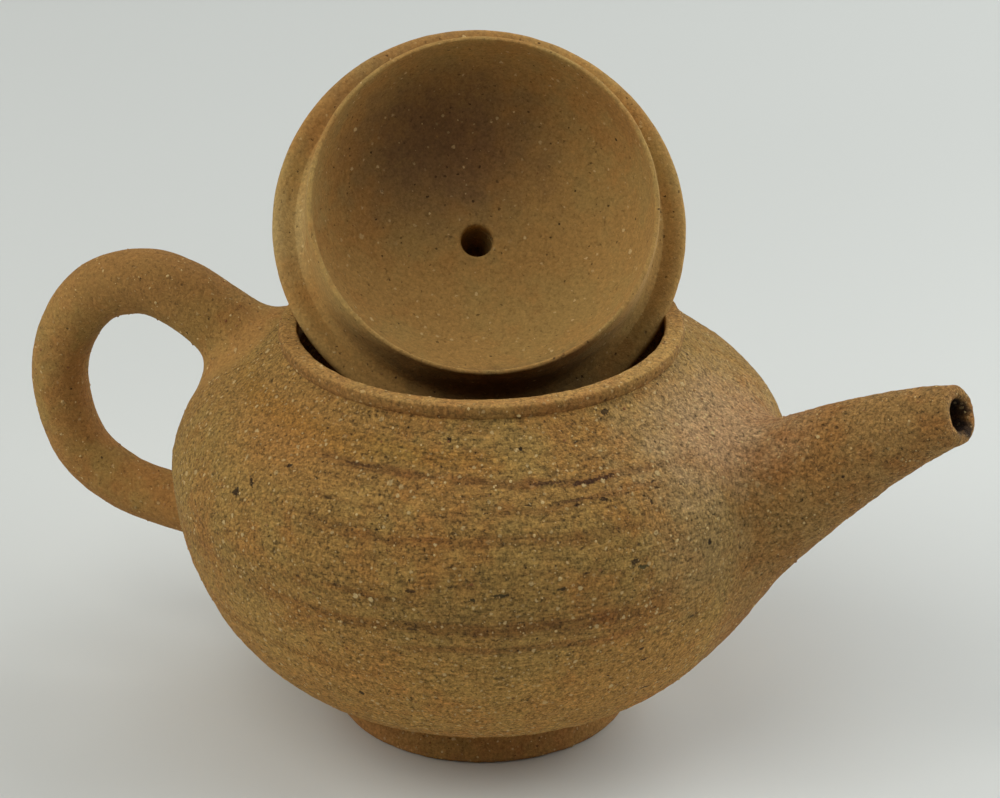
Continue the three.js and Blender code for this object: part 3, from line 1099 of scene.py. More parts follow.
@dataclass(frozen=True)
class GrogFinish:
    """The coarse grains of crushed fired clay that stand in the surface."""

    name: str = "grog"
    pale: Colour = screen(212, 182, 124)
    tan: Colour = screen(168, 126, 74)
    rust: Colour = screen(134, 88, 50)

    def material(self) -> bpy.types.Material:
        """Writes the material.

        Returns:
            The finished material.
        """
        made, w = new_material(self.name, self.pale)
        mm = w.millimetres(w.add("ShaderNodeTexCoord")["Object"])
        dice = w.noise(mm, 1.4, 1.0, seed=3)
        colour = w.mix(dice.rise(0.34, 0.44), self.rust, self.tan)
        colour = w.mix(dice.rise(0.44, 0.54), colour, self.pale)
        colour = w.vector("SCALE", {0: colour, "Scale": 0.8 + 0.4 * w.noise(mm, 0.3, 2.0)})
        w.fired_clay(colour, w.noise(mm, 1.0, 1.0) * 0.1 + 0.82, w.noise(mm, 0.2) * 0.1, 0.5)
        return made


FINISHES: dict[str, bpy.types.Material] = {}


def finished(finish: ClayFinish | GrogFinish) -> bpy.types.Material:
    """The material of a finish, written the first time that it is asked for.

    Args:
        finish: The finish.

    Returns:
        Its material.
    """
    if finish.name not in FINISHES:
        FINISHES[finish.name] = finish.material()
    return FINISHES[finish.name]


# Geometry trees


def new_tree(name: str, inputs: dict[str, tuple[str, object]]) -> tuple[Weave, Placed]:
    """Starts a geometry tree.

    Args:
        name: Its name.
        inputs: Type and first value of each input after the geometry, by name.

    Returns:
        The tree and its input node.
    """
    tree = bpy.data.node_groups.new(name, "GeometryNodeTree")
    tree.interface.new_socket("Geometry", in_out="INPUT", socket_type="NodeSocketGeometry")
    for key, (kind, value) in inputs.items():
        socket = tree.interface.new_socket(key, in_out="INPUT", socket_type=f"NodeSocket{kind}")
        if value is not None:
            socket.default_value = value
    tree.interface.new_socket("Geometry", in_out="OUTPUT", socket_type="NodeSocketGeometry")
    w = Weave(tree)
    return w, w.add("NodeGroupInput")


def end_tree(w: Weave, made: Wire, clay: Wire) -> bpy.types.NodeTree:
    """Ends a geometry tree with real meshes that wear their clay.

    Args:
        w: The tree.
        made: What it made.
        clay: The material.

    Returns:
        The finished tree.
    """
    real = w.add("GeometryNodeRealizeInstances", {}, {"Geometry": made})[0]
    dressed = w.add("GeometryNodeSetMaterial", {}, {"Geometry": real, "Material": clay})[0]
    w.add("NodeGroupOutput", {}, {"Geometry": dressed})
    return w.tree


def throwing_marks() -> bpy.types.NodeTree:
    """The tree that lays the wheel's rings and the slight wobble of the wall on a piece.

    Returns:
        The tree, with inputs for its sizes.
    """
    w, given = new_tree(
        "throwing_marks",
        {
            "Ring depth": ("Float", 0.12),
            "Ring pitch": ("Float", 3.2),
            "Wobble": ("Float", 0.3),
            "Wobble size": ("Float", 26.0),
            "Lumps": ("Float", 0.8),
            "Lump size": ("Float", 2.2),
            "Seed": ("Float", 7.0),
            "Clay": ("Material", None),
        },
    )
    mm = w.millimetres(w.add("GeometryNodeInputPosition")[0])
    seeded = w.vector("ADD", {0: mm, 1: given["Seed"]})
    slow = w.noise(seeded, given["Wobble size"], 1.0, 0.5)
    rings = w.noise(w.stretch(seeded, (0.07, 0.07, 1.0)), given["Ring pitch"], 2.0, 0.5)
    lumps = w.noise(seeded, given["Lump size"], 2.0, 0.6)
    share = w.add("GeometryNodeInputNamedAttribute", {"data_type": "FLOAT"}, {"Name": "thrown"})[0]
    rise = (slow - 0.5) * given["Wobble"] + (rings - 0.5) * given["Ring depth"] * share * 2.0
    rise = rise + (lumps - 0.5) * given["Lumps"]
    offset = w.vector("SCALE", {0: w.add("GeometryNodeInputNormal")[0], "Scale": rise * MM})
    moved = w.add("GeometryNodeSetPosition", {}, {"Geometry": given["Geometry"], "Offset": offset})[0]
    return end_tree(w, moved, given["Clay"])


def piercing(name: str, rings: Sequence[tuple[int, float]]) -> bpy.types.NodeTree:
    """The tree that pierces a piece with round holes along rays from its origin.

    Args:
        name: The tree's name.
        rings: Number of holes in each ring, and how many degrees it lies off the Z axis.

    Returns:
        The tree, with inputs for the holes' radius and depth.
    """
    w, given = new_tree(
        name,
        {
            "Hole radius": ("Float", 1.0),
            "From": ("Float", 0.0),
            "To": ("Float", 10.0),
            "Sides": ("Int", 28),
            "Clay": ("Material", None),
        },
    )
    rods = []
    depth = (given["To"] - given["From"]) * MM
    middle = (given["To"] + given["From"]) * (MM / 2)
    shape = {"Vertices": given["Sides"], "Radius": given["Hole radius"] * MM, "Depth": depth}
    rod = w.add("GeometryNodeMeshCylinder", {}, shape)["Mesh"]
    for count, tilt in rings:
        turn = w.add("GeometryNodeInputIndex")[0] * (ROUND / count)
        off, along = math.sin(math.radians(tilt)), math.cos(math.radians(tilt))
        parts = {0: turn.math("COSINE") * off, 1: turn.math("SINE") * off, 2: along}
        ray = w.add("ShaderNodeCombineXYZ", {}, parts)[0]
        place = w.vector("SCALE", {0: ray, "Scale": middle})
        spots = w.add("GeometryNodePoints", {}, {"Count": count, "Position": place})[0]
        aim = w.add("FunctionNodeAlignRotationToVector", {"axis": "Z"}, {"Vector": ray})[0]
        values = {"Points": spots, "Instance": rod, "Rotation": aim}
        rods.append(w.add("GeometryNodeInstanceOnPoints", {}, values)[0])
    joined = w.add("GeometryNodeJoinGeometry", {}, {"Geometry": rods})[0]
    solid = w.add("GeometryNodeRealizeInstances", {}, {"Geometry": joined})[0]
    settings = {"operation": "DIFFERENCE", "solver": "MANIFOLD"}
    meshes = {"Mesh 1": given["Geometry"], "Mesh 2": solid}
    pierced = w.add("GeometryNodeMeshBoolean", settings, meshes)["Mesh"]
    return end_tree(w, pierced, given["Clay"])


def scattering() -> bpy.types.NodeTree:
    """The tree that scatters coarse grains over a surface and keeps only the grains.

    Returns:
        The tree, with inputs for how many there are and how large.
    """
    w, given = new_tree(
        "grog_scatter",
        {
            "Per square": ("Float", 0.1),
            "Smallest": ("Float", 0.1),
            "Largest": ("Float", 0.3),
            "Sunk": ("Float", 0.5),
            "Seed": ("Int", 5),
            "Clay": ("Material", None),
        },
    )
    shown = w.add("GeometryNodeInputNamedAttribute", {"data_type": "FLOAT"}, {"Name": "shown"})[0]
    density = shown * given["Per square"] * (1 / MM**2)
    spread = w.add(
        "GeometryNodeDistributePointsOnFaces",
        {"distribute_method": "RANDOM"},
        {"Mesh": given["Geometry"], "Density": density, "Seed": given["Seed"]},
    )

    def dice(kind: str, low: object, high: object) -> Wire:
        """A random value for each grain.

        Args:
            kind: Its data type.
            low: The least that it may be.
            high: The most.

        Returns:
            The value.
        """
        values = {"Min": low, "Max": high, "Seed": given["Seed"]}
        return w.add("FunctionNodeRandomValue", {"data_type": kind}, values)["Value"]

    share = dice("FLOAT", 0.0, 1.0)
    radius = (given["Smallest"] + (given["Largest"] - given["Smallest"]) * share * share * share) * MM
    turn = dice("FLOAT_VECTOR", (0, 0, 0), (6.283, 6.283, 6.283))
    flatten = dice("FLOAT_VECTOR", (0.7, 0.7, 0.6), (1.3, 1.1, 1.0))
    down = w.vector("SCALE", {0: spread["Normal"], "Scale": radius * given["Sunk"] * -1.0})
    lowered = w.add("GeometryNodeSetPosition", {}, {"Geometry": spread["Points"], "Offset": down})[0]
    grain = w.add("GeometryNodeMeshIcoSphere", {}, {"Radius": 1.0, "Subdivisions": 1})["Mesh"]
    values = {
        "Points": lowered,
        "Instance": grain,
        "Rotation": turn,
        "Scale": w.vector("SCALE", {0: flatten, "Scale": radius}),
    }
    return end_tree(w, w.add("GeometryNodeInstanceOnPoints", {}, values)[0], given["Clay"])


def run_tree(piece: bpy.types.Object, tree: bpy.types.NodeTree, inputs: dict[str, object]) -> None:
    """Runs a geometry tree on a piece and keeps the result as its mesh.

    Args:
        piece: The piece.
        tree: The tree.
        inputs: Values of the tree's inputs, by name.
    """
    modifier = piece.modifiers.new(tree.name, "NODES")
    modifier.node_group = tree
    for item in tree.interface.items_tree:
        if item.item_type == "SOCKET" and item.in_out == "INPUT" and item.name in inputs:
            modifier[item.identifier] = inputs[item.name]
    graph = bpy.context.evaluated_depsgraph_get()
    made = bpy.data.meshes.new_from_object(piece.evaluated_get(graph))
    piece.modifiers.remove(modifier)
    old = piece.data
    piece.data = made
    bpy.data.meshes.remove(old)
    made.name = piece.name
    made.polygons.foreach_set("use_smooth", [True] * len(made.polygons))


@dataclass
class Wheel:
    """The potter's wheel: it leaves the same marks on all that is thrown on it."""

    tree: bpy.types.NodeTree = field(default_factory=throwing_marks)

    def mark(self, piece: bpy.types.Object, finish: Clay, depth: float, wobble: float, lumps: float) -> None:
        """Marks a piece and dresses it.

        Args:
            piece: The piece.
            finish: Its finish.
            depth: Depth of the rings.
            wobble: How far the wall wanders.
            lumps: How far the coarse sand lifts the skin.
        """
        clay = finished(finish.value)
        run_tree(piece, self.tree, {"Ring depth": depth, "Wobble": wobble, "Lumps": lumps, "Clay": clay})
        piece.data.materials.clear()
        piece.data.materials.append(clay)


class Slot(Enum):
    """Names of material slots."""

    SANDY = "sandy_clay"
    FLUSHED = "flushed_clay"
    SMOOTH = "smooth_clay"


def seat(piece: bpy.types.Object, body: str, node: str | None = None) -> bpy.types.Object:
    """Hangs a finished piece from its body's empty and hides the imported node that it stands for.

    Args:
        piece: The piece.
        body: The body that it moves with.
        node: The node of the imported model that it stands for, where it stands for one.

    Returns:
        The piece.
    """
    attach(piece, body)
    if node:
        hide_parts(node)
    return piece


@dataclass
class Grog:
    """The coarse grains that stand in the surface of one body's pieces."""

    name: str
    body: str
    slot: Slot
    per_square: float
    seed: int
    smallest: float = 0.11
    largest: float = 0.36
    sunk: float = 0.45

    def build(self, pieces: Sequence[bpy.types.Object]) -> bpy.types.Object:
        """Scatters the grains and clears the marks that only they need.

        Args:
            pieces: The pieces that they stand on.

        Returns:
            The grains as one piece.
        """
        gathered = bmesh.new()
        for piece in pieces:
            gathered.from_mesh(piece.data)
        mesh = bpy.data.meshes.new(self.name)
        gathered.to_mesh(mesh)
        gathered.free()
        grains = placed_object(self.name, mesh)
        inputs = {
            "Per square": self.per_square,
            "Smallest": self.smallest,
            "Largest": self.largest,
            "Sunk": self.sunk,
            "Seed": self.seed,
            "Clay": finished(GrogFinish()),
        }
        run_tree(grains, scattering(), inputs)
        for piece in pieces:
            piece.data.attributes.remove(piece.data.attributes["shown"])
        return seat(grains, self.body)


# The pot


@dataclass
class PotForm:
    """The outside of the body, which all that grows out of it is fitted to."""

    belly_radius: float = 45.0
    belly_height: float = 39.2
    foot_top_radius: float = 20.5
    foot_height: float = 6.6
    crest_radius: float = 28.1
    crest_height: float = 55.6
    shoulder_radius: float = 36.0
    seat_radius: float = 28.9
    seat_height: float = 58.4
    lower_roundness: float = 1.9
    upper_roundness: float = 1.77
    wall: float = 3.2
    outline: np.ndarray = field(init=False)
    solid: SpunField = field(init=False)

    def __post_init__(self) -> None:
        """Draws the outline and the field round it."""
        belly = (self.belly_radius, self.belly_height)
        low = quarter_curve((self.foot_top_radius, self.foot_height), belly, self.lower_roundness, 96)
        high = quarter_curve((self.crest_radius, self.crest_height), belly, self.upper_roundness, 96)[::-1]
        high = high[high[:, 0] > self.shoulder_radius]
        cone = even(np.array([high[-1], [self.seat_radius, self.seat_height]]), 14)
        self.outline = np.concatenate([low, high[1:], cone[1:]])
        self.solid = SpunField(np.concatenate([self.outline, [[self.seat_radius, self.seat_height + 5]]]))

    def offset(self, distance: float) -> np.ndarray:
        """The outline moved along its own normals, outwards for a positive distance."""
        run = unit(np.gradient(self.outline, axis=0))
        return self.outline + np.stack([run[:, 1], -run[:, 0]], 1) * distance


@dataclass
class Limb:
    """A round strap or tube in the plane of spout and handle, which grows out of the body."""

    centre: np.ndarray
    radius: np.ndarray

    def __post_init__(self) -> None:
        """Works out the direction of the centre line at each of its points."""
        self.tangent = unit(np.gradient(self.centre, axis=0))

    def part(self, first: int, last: int) -> "Limb":
        """The piece of the limb between two points of its centre line."""
        return Limb(self.centre[first:last], self.radius[first:last])

    def distance(self, points: np.ndarray) -> np.ndarray:
        """The signed distance from points to the limb.

        Args:
            points: Places in space.

        Returns:
            The distances.
        """
        best = np.empty(len(points))
        for chunk in range(0, len(points), 8000):
            some = points[chunk : chunk + 8000, None]
            along, up = some[..., 0] - self.centre[None, :, 0], some[..., 2] - self.centre[None, :, 2]
            gap = np.sqrt(along**2 + up**2 + some[..., 1] ** 2) - self.radius[None]
            best[chunk : chunk + 8000] = gap.min(1)
        return best


def marks_near(gap: np.ndarray) -> np.ndarray:
    """How much of the wheel's marks the clay keeps at distances from a limb."""
    return smooth_step(0.5, 6.0, gap)


def fan(normal: np.ndarray, count: int) -> np.ndarray:
    """Directions all round in a plane, the first on its upper side.

    Args:
        normal: The plane's normal.
        count: Number of directions.

    Returns:
        Unit vectors.
    """
    upper = unit(np.cross(normal, SIDE))
    across = np.cross(upper, normal)
    angle = np.arange(count)[:, None] * (ROUND / count)
    return np.cos(angle) * upper + np.sin(angle) * across


@dataclass(frozen=True)
class Root:
    """Where an end of a limb grows out of the body, and how the clay is smoothed over there.

    The fillet is as wide as blend_high above the height middle and as blend_low below it. The
    smoothed clay runs on a little beyond the fillet, but no nearer to the axis than closest.
    """

    leaves: bool
    middle: float
    blend_high: float
    blend_low: float
    closest: float = 0.0
    margin: float = 3.0
    rows: int = 48
    sink: float = 0.3

    def blend(self, points: np.ndarray) -> np.ndarray:
        """The width of the fillet at points."""
        high = smooth_step(self.middle - 8, self.middle + 8, points[:, 2])
        return self.blend_low + (self.blend_high - self.blend_low) * high

    def past_edge(self, gap: np.ndarray, points: np.ndarray) -> np.ndarray:
        """How far beyond the edge of the smoothed clay points are.

        Args:
            gap: Their distances from the limb.
            points: The points.

        Returns:
            The distances, negative within the smoothed clay.
        """
        inward = self.closest - np.hypot(points[:, 0], points[:, 1])
        return np.maximum(gap - self.blend(points) - self.margin, inward)


@dataclass
class Grown:
    """A limb joined to the body at one root, as one smooth skin.

    Rays that look for the body's skin start as deep inside it as inset, and go as far as reach.
    """

    form: PotForm
    limb: Limb
    root: Root
    count: int = 128
    inset: float = 14.0
    reach: float = 60.0

    @cached_property
    def stations(self) -> tuple[int, int]:
        """Where the limb's axis crosses the body's skin, and where its whole section is clear of it.

        Returns:
            The two points' numbers on the centre line.
        """
        gaps = self.form.solid.at(self.limb.centre)
        order = list(range(len(gaps)))[:: 1 if self.root.leaves else -1]
        crossing = next(i for i in order if gaps[i] > 0)
        room = 0.6 * max(self.root.blend_high, self.root.blend_low)
        for index in order[order.index(crossing) :]:
            ring = self.limb.centre[index] + fan(self.limb.tangent[index], 32) * self.limb.radius[index]
            if self.form.solid.at(ring).min() > room:
                return crossing, index
        raise ValueError("the limb never clears the body")

    def melted(self, points: np.ndarray) -> np.ndarray:
        """The signed distance from points to body and limb melted together."""
        return smooth_union(self.form.solid.at(points), self.limb.distance(points), self.root.blend(points))

    def past_edge(self, points: np.ndarray) -> np.ndarray:
        """How far beyond the edge of the smoothed clay points are."""
        return self.root.past_edge(self.limb.distance(points), points)

    def body_sink(self, points: np.ndarray) -> np.ndarray:
        """How far the body's own skin lies below the smoothed clay at points."""
        return 0.55 * (1 - smooth_step(-5.5, -2.0, self.past_edge(points)))

    def rings(self, indices: Sequence[int], normals: np.ndarray | None = None) -> np.ndarray:
        """The melted skin's sections across the limb.

        Args:
            indices: Which points of the centre line.
            normals: The planes' normals, where they aren't square to the centre line.

        Returns:
            The rings, one after another.
        """
        planes = self.limb.tangent[list(indices)] if normals is None else normals
        aims = np.concatenate([fan(normal, self.count) for normal in planes])
        starts = np.repeat(self.limb.centre[list(indices)], self.count, axis=0)
        return march(self.melted, starts, aims, 30, 18).reshape(len(planes), self.count, 3)

    @cached_property
    def seat(self) -> tuple[np.ndarray, np.ndarray, np.ndarray]:
        """Where the limb's axis leaves the body.

        Returns:
            The place, the direction out of the body there and directions all round along its skin.
        """
        crossing = self.stations[0]
        middle = self.limb.centre[crossing]
        shifts = np.array([[0.3, 0, 0], [0, 0, 0.3]])
        slope = self.form.solid.at(middle + shifts) - self.form.solid.at(middle - shifts)
        out = unit(np.array([slope[0], 0.0, slope[1]]))
        side = 1.0 if self.limb.tangent[crossing] @ out > 0 else -1.0
        return middle, out, fan(out * side, self.count)

    def inside(self) -> np.ndarray:
        """A place on the root's axis, well inside the body."""
        return self.seat[0] - self.seat[1] * self.inset

    def onto_body(self, aims: np.ndarray, sink: float) -> np.ndarray:
        """Places on the body's skin, seen from inside.

        Args:
            aims: The directions that they are seen in.
            sink: How far below the skin they lie.

        Returns:
            The points.
        """
        start = np.broadcast_to(self.inside(), aims.shape)
        return march(lambda p: self.form.solid.at(p) + sink, start, aims, self.reach)

    def on_body(self, spread: np.ndarray, sink: float = 0.0) -> np.ndarray:
        """A ring on the body's skin round the root.

        Args:
            spread: Angle of each point off the root's middle, seen from inside the body.
            sink: How far below the skin the ring lies.

        Returns:
            The points.
        """
        _, out, across = self.seat
        return self.onto_body(out * np.cos(spread)[:, None] + across * np.sin(spread)[:, None], sink)

    def flare(self, ring: np.ndarray) -> tuple[list[np.ndarray], list[np.ndarray]]:
        """The rings from a ring of the limb down to the body's skin.

        Args:
            ring: The last ring of the limb.

        Returns:
            The rings and how much of the wheel's marks each point takes.
        """
        middle, out, _ = self.seat
        low = np.full(self.count, 0.1)
        high = np.full(self.count, 1.9)
        for _ in range(14):
            spread = (low + high) / 2
            far = self.past_edge(self.on_body(spread)) > 0
            high = np.where(far, spread, high)
            low = np.where(far, low, spread)
        edge = self.on_body(low)
        start = middle - out * 3.0
        rows = self.root.rows
        shares = (np.arange(1, rows + 1) / rows) ** 1.1
        aims = unit(ring[None] + (edge - ring)[None] * shares[:, None, None] - start).reshape(-1, 3)

        def skin(points: np.ndarray) -> np.ndarray:
            """The melted form, with its outer edge tucked under the body's skin."""
            return self.melted(points) + self.root.sink * smooth_step(-2.2, 0.0, self.past_edge(points))

        there = march(skin, np.broadcast_to(start, aims.shape), aims, self.reach)
        marks = marks_near(self.limb.distance(there))
        return list(there.reshape(rows, self.count, 3)), list(marks.reshape(rows, self.count))

    def tucked(self, edge: np.ndarray, shares: Sequence[float], sink: float = 1.0) -> list[np.ndarray]:
        """Rings that carry the skin's edge on inwards, below the body's skin.

        Args:
            edge: The skin's last ring.
            shares: How far in each ring lies, from 0 at the edge to 1 at the limb's axis.
            sink: How far below the body's skin they lie.

        Returns:
            The rings.
        """
        middle, start = self.seat[0], self.inside()
        return [self.onto_body(unit(edge + (middle - edge) * share - start), sink) for share in shares]


@dataclass
class SpoutShape:
    """The spout's centre line, its taper and the slanting cut of its tip."""

    root: tuple[float, float] = (29.0, 28.8)
    middle: tuple[float, float] = (58.6, 53.2)
    tip: tuple[float, float] = (69.4, 56.55)
    root_radius: float = 13.1
    tip_radius: float = 4.1
    bore_radius: float = 2.35
    wall: float = 2.6
    cut_rise: float = 21.0
    cut_turn: float = 12.0
    steps: int = 160
    spare: int = 14

    def limb(self) -> Limb:
        """Draws the spout's centre line and taper.

        Returns:
            The spout as a limb, from its root to a little beyond its tip.
        """
        share = np.linspace(0, 1, 400)[:, None]
        ends = [np.array([[p[0], 0.0, p[1]]]) for p in (self.root, self.middle, self.tip)]
        curve = (1 - share) ** 2 * ends[0] + 2 * share * (1 - share) * ends[1] + share**2 * ends[2]
        centre = even(curve, self.steps)
        radius = np.linspace(self.root_radius, self.tip_radius, self.steps + 1)
        beyond = centre[-1] + np.arange(1, self.spare + 1)[:, None] * (centre[-1] - centre[-2])
        radii = np.concatenate([radius, np.full(self.spare, self.tip_radius)])
        return Limb(np.concatenate([centre, beyond]), radii)

    def cut(self) -> np.ndarray:
        """The direction that the cut of the tip looks in."""
        return direction(-self.cut_turn, self.cut_rise)

    def planes(self, limb: Limb, indices: Sequence[int], run: int = 22) -> np.ndarray:
        """Normals of sections that turn from square ones to the slant of the cut.

        Args:
            limb: The spout as a limb.
            indices: Points of its centre line.
            run: Over how many points before the tip they turn.

        Returns:
            The normals.
        """
        share = smooth_step(self.steps - run, self.steps, np.array(indices, float))[:, None]
        return unit(limb.tangent[list(indices)] * (1 - share) + self.cut() * share)

    def bore(self, limb: Limb, indices: Sequence[int], count: int) -> np.ndarray:
        """Sections of the bore.

        Args:
            limb: The spout as a limb.
            indices: Points of its centre line.
            count: Number of points in a ring.

        Returns:
            The rings.
        """
        rings = []
        for index, normal in zip(indices, self.planes(limb, indices)):
            aims = fan(normal, count)
            ahead = limb.tangent[index]
            square = np.linalg.norm(aims - np.outer(aims @ ahead, ahead), axis=1)
            size = max(self.bore_radius, float(limb.radius[index]) - self.wall)
            rings.append(limb.centre[index] + aims * (size / square)[:, None])
        return np.array(rings)


@dataclass
class HandleShape:
    """The handle's centre line and thickness."""

    start: float = 30.0
    reach: float = 68.2
    top: float = 59.3
    low: float = 23.2
    line: tuple[tuple[float, float], ...] = (
        (0, 0.742),
        (0.144, 0.795),
        (0.301, 0.884),
        (0.432, 0.961),
        (0.589, 1),
        (0.798, 0.931),
        (0.94, 0.753),
        (1, 0.515),
        (0.924, 0.208),
        (0.749, 0.066),
        (0.524, 0.008),
        (0.183, -0.014),
    )
    radius: float = 4.2
    root_radius: float = 5.5
    end_radius: float = 4.6
    steps: int = 220

    def limb(self) -> Limb:
        """Draws the handle's centre line, with its two ends thicker than its middle.

        Returns:
            The handle as a limb, from the shoulder to the belly.
        """
        shares = np.array(self.line)
        across = -(self.start + (self.reach - self.start) * shares[:, 0])
        up = self.low + (self.top - self.low) * shares[:, 1]
        flat = through(np.stack([across, up], 1), self.steps)
        centre = np.stack([flat[:, 0], np.zeros(len(flat)), flat[:, 1]], 1)
        share = np.linspace(0, 1, self.steps + 1)
        upper = np.exp(-((share / 0.34) ** 2)) * (self.root_radius - self.radius)
        lower = np.exp(-(((1 - share) / 0.1) ** 2)) * (self.end_radius - self.radius)
        return Limb(centre, self.radius + upper + lower)


@dataclass
class Strainer:
    """The pierced half ball over the port, inside the body."""

    radius: float = 10.5
    thickness: float = 1.8
    hole_radius: float = 1.1
    rings: tuple[tuple[int, float], ...] = ((1, 0.0), (6, 25.0), (9, 48.0))
    sides: int = 96

    def build(self, port: Matrix, wheel: Wheel) -> bpy.types.Object:
        """Makes the strainer.

        Args:
            port: Its place, with +Z into the pot.
            wheel: The wheel, for its finish.

        Returns:
            The piece.
        """
        angle = np.linspace(0.002, math.radians(84), 36)
        arc = np.stack([np.sin(angle), np.cos(angle)], 1)
        profile = np.concatenate([arc * self.radius, arc[::-1] * (self.radius - self.thickness)])
        piece = lathe("pierced_strainer", profile, self.sides, 0.0)
        inputs = {"Hole radius": self.hole_radius, "From": self.radius / 2, "To": self.radius + 2}
        clay = finished(Clay.LID.value)
        run_tree(piece, piercing("strainer_holes", self.rings), {**inputs, "Clay": clay})
        wheel.mark(piece, Clay.LID, depth=0.0, wobble=0.1, lumps=0.1)
        piece.data.transform(port)
        return seat(piece, "pot", "spout_strainer")


@dataclass
class Pot:
    """The pot: body, foot, collar, spout, strainer and handle."""

    wheel: Wheel
    form: PotForm = field(default_factory=PotForm)
    spout: SpoutShape = field(default_factory=SpoutShape)
    handle: HandleShape = field(default_factory=HandleShape)
    strainer: Strainer = field(default_factory=Strainer)
    mouth_radius: float = 26.3
    floor_height: float = 7.0
    base_height: float = 3.4
    foot_radius: float = 21.8
    foot_width: float = 4.2
    rim_height: float = 60.5
    seam_height: float = 56.9
    port_radius: float = 7.2
    sides: int = 384
    handle_split: int = 120
    handle_lap: int = 12
    spout_root: Root = Root(leaves=True, middle=41.6, blend_high=4.5, blend_low=3.5)
    upper_root: Root = Root(leaves=True, middle=52.6, blend_high=4.0, blend_low=6.0, closest=30.0)
    lower_root: Root = Root(leaves=False, middle=22.9, blend_high=4.0, blend_low=4.0)

    def __post_init__(self) -> None:
        """Joins spout and handle to the body, with each half of the handle at its own root."""
        strap = self.handle.limb()
        upper = strap.part(0, self.handle_split + self.handle_lap)
        lower = strap.part(self.handle_split, None)
        self.at_spout = Grown(self.form, self.spout.limb(), self.spout_root)
        self.at_top = Grown(self.form, upper, self.upper_root)
        self.at_foot = Grown(self.form, lower, self.lower_root)

    def build(self) -> list[bpy.types.Object]:
        """Makes all of the pot's pieces.

        Returns:
            The pieces.
        """
        pieces = [self.body(), self.foot(), self.collar(), self.spout_piece(), self.handle_piece()]
        grains = Grog("pot_grog", "pot", Slot.SANDY, per_square=0.26, seed=5).build(pieces)
        return [*pieces, self.strainer.build(self.port(), self.wheel), grains]

    def port(self) -> Matrix:
        """Finds where the spout's axis leaves the hollow.

        Returns:
            The place, with +Z along the axis into the pot.
        """
        limb = self.at_spout.limb
        index = int(np.argmax(self.form.solid.at(limb.centre) > -self.form.wall))
        aim = Vector(-limb.tangent[index]).to_track_quat("Z", "Y").to_matrix().to_4x4()
        return Matrix.Translation(Vector(limb.centre[index]) * MM) @ aim

    def body_profile(self) -> tuple[np.ndarray, range]:
        """Draws the body's wall, from the middle of its base out, up and back inside.

        Returns:
            Points of radius and height, and which of them lie on the outside.
        """
        form, outline, inner = self.form, self.form.outline, self.form.offset(-self.form.wall)
        floor, base, seat_height = self.floor_height, self.base_height, self.form.seat_height
        inner = inner[(inner[:, 1] > floor + 0.8) & (inner[:, 1] < form.crest_height - 1)][::3]
        edge = self.foot_radius - self.foot_width
        bottom = np.array([
            (0.001, base), (6.0, base), (12.0, base + 0.2), (15.4, base + 0.9), (edge - 0.4, base + 2.2),
            (edge + 0.6, form.foot_height),
        ])
        inside = np.concatenate([
            [(0.001, floor), (8.0, floor), (14.0, floor + 0.05)],
            inner,
            [(self.mouth_radius + 0.5, form.crest_height), (self.mouth_radius + 0.2, seat_height - 0.6)],
        ])
        over = (28.6, seat_height + 0.35), (27.6, seat_height + 0.1), (27.0, seat_height - 0.4)
        brow = rounded([outline[-1], *over], 8)
        profile = np.concatenate([bottom, outline, brow[1:], inside[::-1]])
        return profile, range(len(bottom), len(bottom) + len(outline))

    def body(self) -> bpy.types.Object:
        """Throws the body and cuts its port.

        Returns:
            The piece.
        """
        profile, outer_rows = self.body_profile()
        joints = (self.at_spout, self.at_top, self.at_foot)
        skin = Skin()
        for row, (radius, height) in enumerate(profile):
            ring = spun_ring(radius, height, self.sides)
            marks, shown = 0.3, 0.0
            if row in outer_rows:
                marks = marks_near(np.min([joint.limb.distance(ring) for joint in joints], axis=0))
                sunk = np.max([joint.body_sink(ring) for joint in joints], axis=0)
                ring[:, :2] *= ((radius - sunk) / radius)[:, None]
                shown = np.where(sunk > 0.01, 0.0, 1.0)
            skin.add(ring, marks, shown)
        piece = skin.build("thrown_body", looped=False)
        self.wheel.mark(piece, Clay.THROWN, depth=0.16, wobble=0.35, lumps=0.45)
        place = self.port()
        piece.data.transform(place.inverted())
        reach = {"Hole radius": self.port_radius, "From": -self.form.wall * 3, "To": self.form.wall}
        clay = finished(Clay.THROWN.value)
        run_tree(piece, piercing("spout_port", ((1, 0.0),)), {**reach, "Sides": 64, "Clay": clay})
        piece.data.transform(place)
        return seat(piece, "pot", "pot_body")

    def foot(self) -> bpy.types.Object:
        """Turns the foot ring.

        Returns:
            The piece.
        """
        outer, inner = self.foot_radius, self.foot_radius - self.foot_width
        line = [
            (inner + 0.2, 6.9), (inner, 3.0), (inner + 0.1, 0.8), (inner + 0.9, 0.02), (outer - 1.8, 0.0),
            (outer - 0.6, 0.05), (outer - 0.05, 0.6), (outer - 0.2, 1.6), (outer - 0.7, 3.6),
            (outer - 1.05, 5.4), (outer - 1.2, 6.6), (outer - 1.6, 7.4),
        ]
        profile = np.concatenate([rounded(line, 60), [[inner + 0.8, 7.4]]])
        piece = lathe("turned_foot", profile, self.sides, 0.8)
        self.wheel.mark(piece, Clay.FOOT, depth=0.06, wobble=0.12, lumps=0.25)
        return seat(piece, "pot", "foot_ring")

